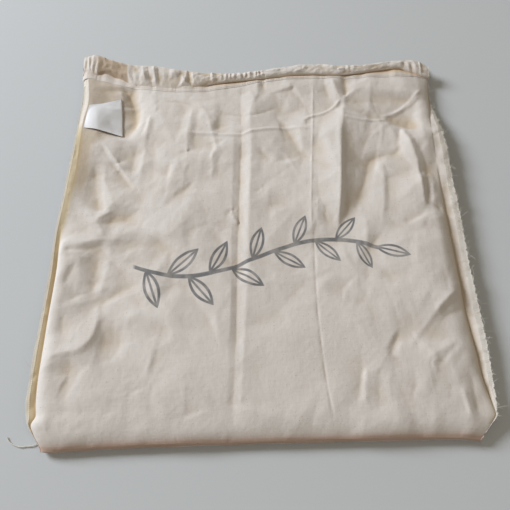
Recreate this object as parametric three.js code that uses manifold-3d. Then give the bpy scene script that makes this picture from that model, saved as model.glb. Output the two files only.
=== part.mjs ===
// Drawstring storage bag of cream cotton cloth, turned inside out and lying flat on its back.
// Millimetres, +Z up. X runs across the bag, and +Y from the bottom fold to the drawn mouth.
// The origin is on the resting surface, under the middle of the bag.

import * as THREE from "three";
import Module from "manifold-3d";

const wasm = await Module();
wasm.setup();

// Driving dimensions
const CLOTH = 1.6; // one layer of cloth
const ALLOWANCE = 2.4; // the two layers of a seam allowance, pressed together
const CROWN = 15; // height of the front layer over the resting surface
const HEM_STEP = 1.3; // how far the turned hem stands over the front layer
const FOLD_MID = 6.5; // height of the bottom fold's outermost line
const FOLD_REACH = 13; // the front layer rises to its crown in this distance from the fold
const MOUTH_OVERRUN = 30; // the pocket is cut this far past the mouth, so that it opens there
const LABEL = 1.2; // a woven label folded double
const LABEL_CLEAR = 1.5; // from the label to the cloth under it
const LABEL_LIFT = 3; // how much further the label's free end stands off the cloth
const THREAD = 1; // diameter of the loose sewing thread
const THREAD_CLEAR = 0.1; // from the thread to the surface under it

// Each side of the bag: how high its seam and the edge of its seam allowance stand,
// and how far from the seam the front layer and the back layer curve in.
const LEFT = { seamZ: 4, edgeZ: 8, frontReach: 18, backReach: 16 };
const RIGHT = { seamZ: 8, edgeZ: 9.5, frontReach: 20, backReach: 22 };

// The side seams and the outer edges of their allowances, from the bottom corners to the mouth
const SIDES = [
  { y: -215, edgeL: -196, seamL: -193, seamR: 190, edgeR: 195 },
  { y: -190, edgeL: -203, seamL: -193, seamR: 200, edgeR: 206 },
  { y: -145, edgeL: -206, seamL: -197, seamR: 197, edgeR: 206.6 },
  { y: -100, edgeL: -207, seamL: -197, seamR: 192, edgeR: 206.6 },
  { y: -50, edgeL: -206, seamL: -198, seamR: 193, edgeR: 206 },
  { y: 0, edgeL: -205, seamL: -195, seamR: 192, edgeR: 205 },
  { y: 60, edgeL: -202, seamL: -195, seamR: 190, edgeR: 203 },
  { y: 110, edgeL: -200, seamL: -191, seamR: 189, edgeR: 198 },
  { y: 160, edgeL: -202, seamL: -192, seamR: 192, edgeR: 198 },
  { y: 210, edgeL: -204, seamL: -196, seamR: 196, edgeR: 200 },
];

// The bottom fold, across the bag: its two corners are drawn in
const FOLD = [
  { x: -196, y: -205 },
  { x: -183, y: -219 },
  { x: -172, y: -220.5 },
  { x: -120, y: -217.5 },
  { x: -50, y: -215 },
  { x: 20, y: -213 },
  { x: 110, y: -211 },
  { x: 170, y: -210 },
  { x: 186, y: -211 },
  { x: 194, y: -203 },
];

// The stitched edge of the turned hem, across the bag
const HEM = [
  { x: -190, y: 187 },
  { x: -149, y: 177.5 },
  { x: -111, y: 168.5 },
  { x: -70, y: 165.5 },
  { x: -20, y: 176 },
  { x: 32, y: 182 },
  { x: 72, y: 186 },
  { x: 101, y: 186 },
  { x: 165, y: 191 },
  { x: 194, y: 194.5 },
];

// The front casing, across the bag: a flat gathered band on the left that turns into a round roll.
// Its section is an oval of half sizes long and thick, tilted up to the back by tilt degrees.
const FRONT_CASING = [
  { x: -203, y: 206, z: 9, long: 11, thick: 2.6, tilt: 10, gather: 0.06 },
  { x: -192, y: 206, z: 14.5, long: 15.5, thick: 3.2, tilt: 14, gather: 0.08 },
  { x: -172, y: 198.5, z: 16.5, long: 15.5, thick: 3.4, tilt: 16, gather: 0.12 },
  { x: -150, y: 191, z: 17, long: 15, thick: 3.6, tilt: 16, gather: 0.2 },
  { x: -110, y: 185, z: 17, long: 17, thick: 3.8, tilt: 13, gather: 0.24 },
  { x: -78, y: 184, z: 16.5, long: 13, thick: 4, tilt: 10, gather: 0.24 },
  { x: -50, y: 187, z: 15.6, long: 7.5, thick: 4.4, tilt: 4, gather: 0.2 },
  { x: -20, y: 187.5, z: 15, long: 5.2, thick: 4.6, tilt: 0, gather: 0.16 },
  { x: 27, y: 195.5, z: 14.6, long: 5.2, thick: 4.6, tilt: 0, gather: 0.1 },
  { x: 68, y: 202, z: 15, long: 5.2, thick: 4.6, tilt: 0, gather: 0.08 },
  { x: 112, y: 199.6, z: 15, long: 5.2, thick: 4.6, tilt: 0, gather: 0.08 },
  { x: 150, y: 206, z: 15, long: 5.4, thick: 4.6, tilt: 0, gather: 0.1 },
  { x: 172, y: 206, z: 14.4, long: 8, thick: 4.4, tilt: 8, gather: 0.16 },
  { x: 190, y: 204.5, z: 13, long: 9.5, thick: 4, tilt: 10, gather: 0.16 },
  { x: 199, y: 200, z: 11, long: 8, thick: 3.4, tilt: 8, gather: 0.08 },
];

// The back casing lies flat on the surface behind the front one
const BACK_CASING = [
  { x: -196, y: 209, z: 1.9, long: 8, thick: 2, tilt: 0, gather: 0.06 },
  { x: -150, y: 203, z: 1.9, long: 9, thick: 2, tilt: 0, gather: 0.08 },
  { x: -100, y: 199, z: 1.9, long: 9, thick: 2, tilt: 0, gather: 0.1 },
  { x: -20, y: 196, z: 1.9, long: 9, thick: 2, tilt: 0, gather: 0.1 },
  { x: 70, y: 206, z: 1.9, long: 9, thick: 2, tilt: 0, gather: 0.1 },
  { x: 194, y: 209, z: 1.9, long: 8, thick: 2, tilt: 0, gather: 0.06 },
];
const GATHER_PITCH = 10.5; // from one gather of a casing to the next
const GATHER_DRIFT = { amount: 0.6, length: 31 }; // how unevenly the gathers are spaced

// The main folds of the front layer. Each is a ridge, or a trough where its rise is negative,
// along a bent line, with its own reach to either side as one looks from its start to its end.
const FOLDS = [
  { name: "centre line", from: [-3, 176], via: [-10, 40], to: [-12, -206], rise: 1.8, left: 20, right: 8 },
  { name: "standing fold", from: [108, 188], via: [92, 110], to: [78, -18], rise: 4.4, left: 9, right: 26 },
  { name: "its hollow", from: [120, 172], via: [118, 80], to: [100, -20], rise: -3.6, left: 16, right: 11 },
  { name: "right slant", from: [148, 132], via: [170, 84], to: [182, 30], rise: 2.8, left: 8, right: 12 },
  { name: "right swell", from: [150, 112], via: [141, 60], to: [134, -10], rise: 1.8, left: 12, right: 14 },
  { name: "label dip", from: [-156, 184], via: [-130, 140], to: [-152, 98], rise: -4, left: 10, right: 22 },
  { name: "left ridge", from: [-176, 60], via: [-170, -20], to: [-180, -90], rise: 2.2, left: 12, right: 10 },
  { name: "left hump", from: [-148, -34], via: [-150, -98], to: [-178, -138], rise: 1.8, left: 8, right: 14 },
  { name: "left dip", from: [-136, -40], via: [-130, -128], to: [-192, -150], rise: -3, left: 16, right: 9 },
  { name: "left hollow", from: [-168, 78], via: [-130, 56], to: [-108, 16], rise: -2.4, left: 12, right: 14 },
  { name: "left pinch", from: [-166, 30], via: [-150, 22], to: [-136, 2], rise: 2.2, left: 7, right: 7 },
  { name: "lower crease", from: [-90, -88], via: [-86, -130], to: [-105, -170], rise: 2, left: 8, right: 14 },
  { name: "right ridge", from: [188, -78], via: [155, -102], to: [124, -138], rise: 2.4, left: 8, right: 15 },
  { name: "right pinch", from: [196, -86], via: [180, -94], to: [152, -116], rise: -3.2, left: 10, right: 7 },
  { name: "right dip", from: [186, -120], via: [184, -150], to: [190, -192], rise: -2.6, left: 10, right: 8 },
  { name: "swell", from: [-150, -130], via: [-90, -170], to: [-30, -160], rise: 1.4, left: 24, right: 24 },
];
const FOLD_POINTS = 80; // points along each of these lines
const FOLD_FADE = 0.22; // the share of a fold's length over which each of its ends fades out

// Where the label's four corners lie: two in the left seam, two at its free end
const LABEL_CORNERS = {
  seamTop: [-187, 147],
  seamFoot: [-187, 110],
  freeTop: [-149, 153],
  freeFoot: [-145, 108],
};

// The loose thread runs out of the bottom left corner and lies on the surface
const THREAD_ROUTE = [
  [-187.5, -211],
  [-190, -212.8],
  [-193.5, -214.4],
  [-199.5, -214.8],
  [-204, -215.2],
  [-210.5, -213],
  [-214.5, -210.2],
  [-216.5, -207],
];

// Resolution of the skins
const EDGE_STEPS = [2.5, 7, 13]; // columns beside each seam
const PANEL_COLUMNS = 34;
const FOLD_STEPS = [0, 1, 4, 8.5]; // rows beside the bottom fold
const PANEL_ROWS = 26;
const BACK_STEPS = [0.3, 0.6, 1]; // columns beside each seam, as shares of the reach there
const BACK_COLUMNS = 5; // columns between them
const HEM_ROWS = [-2.5, 0.8]; // rows before and after the hem's edge
const CASING_STATIONS = { front: 108, back: 32 };
const CASING_SIDES = 8;
const LABEL_PARTS = { out: 8, up: 6 };
const THREAD_STEPS = 14;
const THREAD_SIDES = 8;

const { lerp, clamp, smoothstep, degToRad } = THREE.MathUtils;
const vector = (x, y, z) => new THREE.Vector3(x, y, z);

// A smooth curve through one named column of a table
function columnOf(table, key, name) {
  const keys = table.map((row) => row[key]);
  const values = table.map((row) => row[name]);
  const spline = new THREE.CubicInterpolant(keys, values, 1, new Float32Array(1));
  return (at) => spline.evaluate(at)[0];
}

// All the columns of a table at one place
function rowOf(table, key, names) {
  const curves = names.map((name) => [name, columnOf(table, key, name)]);
  return (at) => Object.fromEntries(curves.map(([name, curve]) => [name, curve(at)]));
}

const sidesAt = rowOf(SIDES, "y", ["edgeL", "seamL", "seamR", "edgeR"]);
const foldAt = columnOf(FOLD, "x", "y");
const hemAt = columnOf(HEM, "x", "y");
const mouthAt = columnOf(FRONT_CASING, "x", "y");

// A quarter-round rise from 0 to 1
const rounded = (t) => Math.sqrt(1 - (1 - clamp(t, 0, 1)) ** 2);

// The folds as lines of points, ready to measure from
const foldLines = FOLDS.map((fold) => {
  const ends = [fold.from, fold.via, fold.to].map((p) => new THREE.Vector2(...p));
  return { ...fold, points: new THREE.QuadraticBezierCurve(...ends).getSpacedPoints(FOLD_POINTS) };
});

// What one fold adds to the front layer's height
function foldRise({ points, rise, left, right }, at) {
  let nearest = 0;
  points.forEach((p, i) => {
    if (p.distanceToSquared(at) < points[nearest].distanceToSquared(at)) nearest = i;
  });
  const i = clamp(nearest, 1, points.length - 2);
  const along = points[i + 1].clone().sub(points[i - 1]);
  const side = along.cross(at.clone().sub(points[nearest]));
  const reach = side > 0 ? left : right;
  const share = nearest / (points.length - 1);
  const fade = smoothstep(share, 0, FOLD_FADE) * smoothstep(1 - share, 0, FOLD_FADE);
  return rise * fade * Math.exp(-points[nearest].distanceToSquared(at) / reach ** 2);
}

// Height of the front layer's outer face, between the edges of the seam allowances
function frontHeight(x, y, sides) {
  const fromLeft = x - sides.seamL;
  const fromRight = sides.seamR - x;
  let z = CROWN;
  if (fromLeft < 0) z = lerp(LEFT.seamZ, LEFT.edgeZ, fromLeft / (sides.edgeL - sides.seamL));
  else if (fromRight < 0) z = lerp(RIGHT.seamZ, RIGHT.edgeZ, -fromRight / (sides.edgeR - sides.seamR));
  else {
    const at = new THREE.Vector2(x, y);
    foldLines.forEach((fold) => (z += foldRise(fold, at)));
    if (y > hemAt(x)) z += HEM_STEP;
    z = lerp(LEFT.seamZ, z, rounded(fromLeft / LEFT.frontReach));
    z = lerp(RIGHT.seamZ, z, rounded(fromRight / RIGHT.frontReach));
  }
  const foldEdge = FOLD_MID + CLOTH / 2;
  return lerp(foldEdge, z, rounded((y - foldAt(x)) / FOLD_REACH));
}

// Height of the back layer's outer face, which lies on the surface between the seams
function backHeight(x, y, sides) {
  const left = 1 - clamp((x - sides.seamL) / LEFT.backReach, 0, 1);
  const right = 1 - clamp((sides.seamR - x) / RIGHT.backReach, 0, 1);
  let z = (LEFT.seamZ - ALLOWANCE) * left ** 2 + (RIGHT.seamZ - ALLOWANCE) * right ** 2;
  if (x < sides.seamL) z = frontHeight(x, y, sides) - ALLOWANCE;
  if (x > sides.seamR) z = frontHeight(x, y, sides) - ALLOWANCE;
  const foldEdge = FOLD_MID - CLOTH / 2;
  return lerp(foldEdge, z, rounded((y - foldAt(x)) / FOLD_REACH));
}

// The front face's outward normal, from its slopes
function frontNormal(x, y, sides) {
  const step = 0.5;
  const dx = frontHeight(x + step, y, sides) - frontHeight(x - step, y, sides);
  const dy = frontHeight(x, y + step, sides) - frontHeight(x, y - step, sides);
  return vector(-dx, -dy, 2 * step).normalize();
}

// The rows run from the fold to the mouth and follow the fold, the hem and the mouth across the bag
const rowCount = FOLD_STEPS.length + PANEL_ROWS + HEM_ROWS.length + 1;
function rowY(row, x) {
  if (row < FOLD_STEPS.length) return foldAt(x) + FOLD_STEPS[row];
  const start = foldAt(x) + FOLD_REACH;
  const end = hemAt(x) + HEM_ROWS[0];
  const panelRow = row - FOLD_STEPS.length;
  if (panelRow <= PANEL_ROWS) return lerp(start, end, panelRow / PANEL_ROWS);
  if (panelRow === PANEL_ROWS + 1) return hemAt(x) + HEM_ROWS[1];
  return mouthAt(x);
}

// Places of the columns across the front layer between the seams
function panelColumns({ seamL, seamR }) {
  const inner = EDGE_STEPS.at(-1) + EDGE_STEPS[1];
  const left = EDGE_STEPS.map((step) => seamL + step);
  const right = EDGE_STEPS.map((step) => seamR - step).reverse();
  const middle = Array.from({ length: PANEL_COLUMNS + 1 }, (_, i) =>
    lerp(seamL + inner, seamR - inner, i / PANEL_COLUMNS),
  );
  return [...left, ...middle, ...right];
}

// Places of the few columns that the back layer needs, from right to left
function backColumns({ seamL, seamR }) {
  const right = BACK_STEPS.map((share) => seamR - share * RIGHT.backReach);
  const left = BACK_STEPS.map((share) => seamL + share * LEFT.backReach).reverse();
  const middle = Array.from({ length: BACK_COLUMNS }, (_, i) =>
    lerp(right.at(-1), left[0], (i + 1) / (BACK_COLUMNS + 1)),
  );
  return [...right, ...middle, ...left];
}

// A ring of the outer skin: over the front from left to right, and back along the underside
function outerRing(row) {
  const sides = sidesAt(rowY(row, 0));
  const { edgeL, seamL, seamR, edgeR } = sides;
  const leftStrip = [edgeL, (edgeL + seamL) / 2, seamL];
  const rightStrip = [seamR, (seamR + edgeR) / 2, edgeR];
  const front = [...leftStrip, ...panelColumns(sides), ...rightStrip];
  const back = [edgeR, seamR, ...backColumns(sides), seamL, edgeL];
  return [
    ...front.map((x) => vector(x, rowY(row, x), frontHeight(x, rowY(row, x), sides))),
    ...back.map((x) => vector(x, rowY(row, x), backHeight(x, rowY(row, x), sides))),
  ];
}

// A ring of the pocket: one cloth thickness inside the outer skin
function pocketRing(row) {
  const sides = sidesAt(rowY(row, 0));
  const ceiling = panelColumns(sides).map((x) => {
    const y = rowY(row, x);
    return vector(x, y, frontHeight(x, y, sides)).addScaledVector(frontNormal(x, y, sides), -CLOTH);
  });
  const floor = backColumns(sides).map((x) => {
    const y = rowY(row, x) + (row < FOLD_STEPS.length ? CLOTH : 0);
    return vector(x, y, backHeight(x, y, sides) + CLOTH);
  });
  return [...ceiling, ...floor];
}

// A closed skin through rings that all have the same number of points
function loft(rings) {
  const size = rings[0].length;
  const index = [];
  for (let r = 0; r + 1 < rings.length; r += 1) {
    for (let i = 0; i < size; i += 1) {
      const a = r * size + i;
      const b = r * size + ((i + 1) % size);
      index.push(a, b, b + size, a, b + size, a + size);
    }
  }
  const last = (rings.length - 1) * size;
  capOf(rings[0]).forEach(([a, b, c]) => index.push(a, c, b));
  capOf(rings.at(-1)).forEach(([a, b, c]) => index.push(last + a, last + b, last + c));
  return new THREE.BufferGeometry().setFromPoints(rings.flat()).setIndex(index);
}

// Triangles that close a ring, seen in the plane where it is widest
function capOf(ring) {
  const size = new THREE.Box3().setFromPoints(ring).getSize(vector());
  const flat = ring.map((p) => (size.x > size.y ? new THREE.Vector2(p.z, p.x) : new THREE.Vector2(p.y, p.z)));
  return THREE.ShapeUtils.triangulateShape(flat, []);
}

// A gathered casing: an oval section carried across the bag, pinched at every gather
function casing(table, stations) {
  const names = ["y", "z", "long", "thick", "tilt", "gather"];
  const sectionAt = rowOf(table, "x", names);
  const first = table[0].x;
  const last = table.at(-1).x;
  const rings = Array.from({ length: stations + 1 }, (_, s) => {
    const x = lerp(first, last, s / stations);
    const section = sectionAt(x);
    const drift = GATHER_DRIFT.amount * Math.sin(x / GATHER_DRIFT.length);
    const pinch = 1 + section.gather * Math.sin(2 * Math.PI * (x / GATHER_PITCH + drift));
    const tilt = degToRad(section.tilt);
    return Array.from({ length: CASING_SIDES }, (_, i) => {
      const turn = (2 * Math.PI * (i + 0.5)) / CASING_SIDES;
      const along = section.long * Math.cos(turn);
      const up = section.thick * Math.sin(turn) * (turn < Math.PI ? pinch : 1);
      const y = section.y + along * Math.cos(tilt) - up * Math.sin(tilt);
      return vector(x, y, section.z + along * Math.sin(tilt) + up * Math.cos(tilt));
    });
  });
  return loft(rings);
}

// Geometry to solid and back, for the joins and cuts
function solidOf(geometry) {
  const vertProperties = new Float32Array(geometry.getAttribute("position").array);
  const triVerts = new Uint32Array(geometry.getIndex().array);
  return new wasm.Manifold(new wasm.Mesh({ numProp: 3, vertProperties, triVerts }));
}

function geometryOf(solid) {
  const { vertProperties, triVerts } = solid.getMesh();
  const position = new THREE.BufferAttribute(vertProperties, 3);
  return new THREE.BufferGeometry()
    .setAttribute("position", position)
    .setIndex(new THREE.BufferAttribute(triVerts, 1));
}

// The bag: one cloth folded at the bottom and seamed at both sides, so that it is a flat pocket,
// with its two turned hems joined on as casings that stand apart at the mouth
function bagCloth() {
  const rows = Array.from({ length: rowCount }, (_, row) => row);
  const pocketRings = rows.slice(1).map(pocketRing);
  const overrun = pocketRings.at(-1).map((p) => p.clone().add(vector(0, MOUTH_OVERRUN, 0)));
  return geometryOf(
    solidOf(loft(rows.map(outerRing)))
      .subtract(solidOf(loft([...pocketRings, overrun])))
      .add(solidOf(casing(FRONT_CASING, CASING_STATIONS.front)))
      .add(solidOf(casing(BACK_CASING, CASING_STATIONS.back))),
  );
}

// The label: a small flat piece that follows the cloth under it and lifts towards its free end
function careLabel() {
  const geometry = new THREE.BoxGeometry(1, 1, LABEL, LABEL_PARTS.out, LABEL_PARTS.up);
  const position = geometry.getAttribute("position");
  const { seamTop, seamFoot, freeTop, freeFoot } = LABEL_CORNERS;
  for (let i = 0; i < position.count; i += 1) {
    const out = position.getX(i) + 0.5;
    const up = position.getY(i) + 0.5;
    const x = lerp(lerp(seamFoot[0], seamTop[0], up), lerp(freeFoot[0], freeTop[0], up), out);
    const y = lerp(lerp(seamFoot[1], seamTop[1], up), lerp(freeFoot[1], freeTop[1], up), out);
    const under = frontHeight(x, y, sidesAt(y)) + LABEL_CLEAR + LABEL_LIFT * out ** 2;
    position.setXYZ(i, x, y, under + LABEL / 2 + position.getZ(i));
  }
  return geometry;
}

// The loose thread: a fine round cord along its route on the surface
function looseThread() {
  const height = THREAD / 2 + THREAD_CLEAR;
  const circle = new THREE.Path().absarc(0, 0, THREAD / 2, 0, 2 * Math.PI);
  const section = new THREE.Shape(circle.getPoints(THREAD_SIDES / 2));
  const extrudePath = new THREE.CatmullRomCurve3(THREAD_ROUTE.map(([x, y]) => vector(x, y, height)));
  return new THREE.ExtrudeGeometry(section, { steps: THREAD_STEPS, extrudePath });
}

function piece(name, geometry, finish) {
  const mesh = new THREE.Mesh(geometry, new THREE.MeshStandardMaterial({ metalness: 0, ...finish }));
  mesh.name = name;
  return mesh;
}

const bag = new THREE.Group();
bag.add(
  piece("bag_cloth", bagCloth(), { color: 0xd6cdb8, roughness: 0.95 }),
  piece("care_label", careLabel(), { color: 0xe2e2e4, roughness: 0.6 }),
  piece("loose_thread", looseThread(), { color: 0xe6e2d6, roughness: 0.9 }),
);

export default bag;
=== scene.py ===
"""Cream cotton drawstring bag, turned inside out and lying flat: the dressed part."""

import math

import bmesh
import bpy
import numpy as np
from mathutils.geometry import delaunay_2d_cdt
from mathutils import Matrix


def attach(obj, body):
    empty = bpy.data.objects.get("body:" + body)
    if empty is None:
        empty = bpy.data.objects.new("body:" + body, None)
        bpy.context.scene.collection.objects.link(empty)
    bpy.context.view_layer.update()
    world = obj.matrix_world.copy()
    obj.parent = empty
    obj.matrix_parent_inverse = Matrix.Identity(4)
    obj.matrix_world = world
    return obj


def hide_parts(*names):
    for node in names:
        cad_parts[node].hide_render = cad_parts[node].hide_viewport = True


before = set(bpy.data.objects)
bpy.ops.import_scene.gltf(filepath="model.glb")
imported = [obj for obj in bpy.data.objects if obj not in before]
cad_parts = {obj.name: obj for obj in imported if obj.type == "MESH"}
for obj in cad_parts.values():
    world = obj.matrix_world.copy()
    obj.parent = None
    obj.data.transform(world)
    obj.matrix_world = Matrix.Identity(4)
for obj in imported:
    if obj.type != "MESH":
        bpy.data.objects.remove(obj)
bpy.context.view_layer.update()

MM = 0.001
rng = np.random.default_rng(11)

# The photo's camera: place in metres, pitch in degrees, lens and sensor in millimetres
CAMERA_PLACE = (-0.003, -0.270, 0.487)
CAMERA_PITCH = 26
CAMERA_LENS = 38.12
CAMERA_SENSOR = 36
FLOOR_LEVEL = -0.0003  # metres, so that the bag is just clear of it

# Sizes in millimetres. The outline and the main heights follow the solid's.
CROWN = 15  # height of the front layer
PLIES = 0.9  # from one layer of a seam allowance to the other
FLOOR_CLEAR = 0.2  # from the back layer to the surface under it
BACK_REACH = {"left": 16, "right": 22}  # the back layer turns up to the seams over these distances

# The seam allowances, in shares from the seam to the edge
RIM_ROLL = 2.2  # how far the left rim rolls over
ROLL_START = 0.6
LEFT_WRINKLE = 0.5  # the left one is wrinkled less than the right one
WRINKLE_START = {"left": 0.3, "right": 0.4}  # wrinkles grow to their height up to here
FRAY = 0.35  # how far the frayed right rim wanders, and the rate and phase of its waves
FRAY_WAVES = [(1.3, 0), (0.71, 1), (2.3, 2)]

# How the front layer comes down to its edges
RIGHT_FALL = 2  # it lies this much lower at the right seam
RIGHT_FALL_SPAN = (178, 197)
FOLD_MID = 5.5  # height of the bottom fold's outermost line
FOLD_REACH = 13  # the front layer rises to its crown in this distance from the fold
FOLD_FALL = 5.4  # and falls by this much towards the fold, mostly over the slope's length
FOLD_SLOPE = 10
FOLD_SLOPE_START = 4
FOLD_SLOPE_SWAY = 2  # the slope's length varies by this across the bag
FOLD_SLOPE_RUN = 31
RAISED_SEAM = (8, 14)  # where the left seam stands this high, the cloth leaves it in a softer slope
SOFT_START = -0.15

# The side seams and the outer edges of their allowances: y, left edge, left seam, right seam, right edge
SIDES = [
    (-218, -182, -180, 183, 185),
    (-210, -186.5, -185, 190.2, 190.8),
    (-200, -194.5, -192.5, 198.4, 199.2),
    (-193, -199.5, -196, 203.6, 204.8),
    (-186, -202, -193, 203.5, 205.5),
    (-177, -204, -194.5, 202.5, 206.5),
    (-160, -204.5, -196, 199.5, 207),
    (-141, -205, -196.3, 198.4, 207.5),
    (-103, -204.5, -196.8, 195, 207),
    (-63, -204, -196.3, 194.3, 205.5),
    (-19, -203, -196.5, 193, 205.5),
    (5, -201.5, -193.4, 192, 205.5),
    (28, -200, -192.8, 191.5, 204.5),
    (53, -200, -191.4, 191, 204),
    (80, -199, -192, 190.5, 204),
    (106, -199.5, -192.3, 191.5, 202.4),
    (121, -200, -192.2, 193, 200.4),
    (135, -200, -190.5, 195, 198.9),
    (148, -200, -190.5, 196.2, 198.4),
    (165, -200.8, -193, 197.6, 198.8),
    (186, -202.5, -197, 199.8, 200.4),
    (210, -204.5, -198, 199, 200),
]

# Heights along them: y, left edge, left seam, right seam, right edge
RISES = [
    (-215, 4.5, 3.5, 6.5, 7),
    (-197, 6, 3.8, 9.6, 10.2),
    (-187, 6.6, 4, 10, 11.4),
    (-172, 6.9, 4.3, 6.4, 10.8),
    (-150, 7.2, 4.6, 5.6, 10.8),
    (-60, 8.2, 5.2, 6.2, 11.4),
    (-25, 12.5, 10.4, 7, 11.6),
    (10, 16.6, 15.8, 8.2, 12),
    (60, 17.2, 16.8, 11, 13),
    (90, 16.6, 16.4, 13.2, 14),
    (112, 14.5, 16.8, 13, 13.4),
    (124, 13, 17, 11.6, 12),
    (138, 12.3, 17, 9, 9.4),
    (165, 12, 16.5, 6, 6),
    (190, 13, 15, 7, 6.5),
    (205, 13, 13, 9, 8.5),
]

# The front layer comes level with its crown over these distances from the seams: y, left, right
REACHES = [
    (-215, 13, 14), (-180, 16, 14), (-120, 14, 14), (-70, 14, 15), (-30, 15, 15), (10, 22, 12),
    (60, 23, 10), (95, 22, 9), (122, 24, 16), (205, 16, 22),
]

# The bottom fold across the bag: x, y
FOLD = [
    (-198, -218.5), (-183, -220), (-172, -220.5), (-120, -217.5), (-50, -215),
    (20, -213), (110, -211), (170, -210), (186, -211), (206, -211),
]

# Its front face in section: distance in from the outermost line, share of the height up to the front layer
FOLD_FACE = [
    (0.2, 0.1), (0.1, 0.2), (0.8, 0.3), (0.8, 0.4), (1.6, 0.52), (1.8, 0.62), (2.8, 0.74), (3.5, 0.84),
    (4.7, 0.905), (7, 0.945), (10, 0.98), (13, 1),
]
FOLD_WOBBLE = 0.5

# The stitched edge of the turned hem across the bag: x, y
HEM = [
    (-190, 187), (-149, 177.5), (-123, 171), (-88, 167), (-60, 167.8), (-20, 175.3),
    (3, 180.5), (49, 185.4), (95, 187.4), (142, 189.2), (194, 192),
]

# The front casing across the bag: x, y, z, half length and half thickness of its oval, tilt
FRONT_CASING = [
    (-204.5, 206.5, 14, 12, 1.6, 12),
    (-200, 206, 15.2, 13, 1.7, 14),
    (-195, 205.4, 16.2, 13.6, 1.8, 15),
    (-190, 204.8, 16.8, 14.2, 1.9, 16),
    (-185, 203.6, 15.8, 14.8, 2.1, 20),
    (-180, 202, 13.9, 15, 2.4, 26),
    (-174, 199.6, 12.4, 15.2, 2.7, 31),
    (-167, 197, 11.7, 15.4, 3, 34),
    (-152, 192, 12, 15, 3.2, 33),
    (-140, 189, 14.4, 14.6, 3.4, 24),
    (-110, 186, 15.4, 14.6, 3.6, 15),
    (-78, 184.5, 15.4, 11.5, 3.8, 10),
    (-50, 186.6, 15.4, 7.6, 3.8, 4),
    (-20, 188.4, 15.6, 5.4, 3.6, 0),
    (3, 191.6, 15.6, 5.8, 3.6, 0),
    (26, 195.8, 15.6, 6.6, 3.7, 0),
    (50, 199.3, 15.7, 7, 3.7, 0),
    (73, 200, 15.8, 7.8, 3.7, 0),
    (96, 199.2, 15.8, 7.2, 3.7, 0),
    (120, 201, 15.8, 5.8, 3.6, 0),
    (143, 205.2, 15.6, 5.4, 3.5, 0),
    (165, 208.6, 15, 5.8, 3.4, 3),
    (178, 206.6, 14, 8.8, 3.4, 7),
    (190, 203.6, 13, 10, 3.4, 10),
    (199.5, 200.5, 11, 8, 3, 8),
]

# The back casing lies flat behind it: x, y, z, half length, half thickness, tilt
BACK_CASING = [
    (-196, 209, 1.9, 8, 1.8, 0),
    (-150, 203, 1.9, 9, 1.8, 0),
    (-100, 199, 1.9, 9, 1.8, 0),
    (-20, 196, 1.9, 9, 1.8, 0),
    (70, 206, 1.9, 9, 1.8, 0),
    (194, 209, 1.9, 8, 1.8, 0),
]

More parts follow.
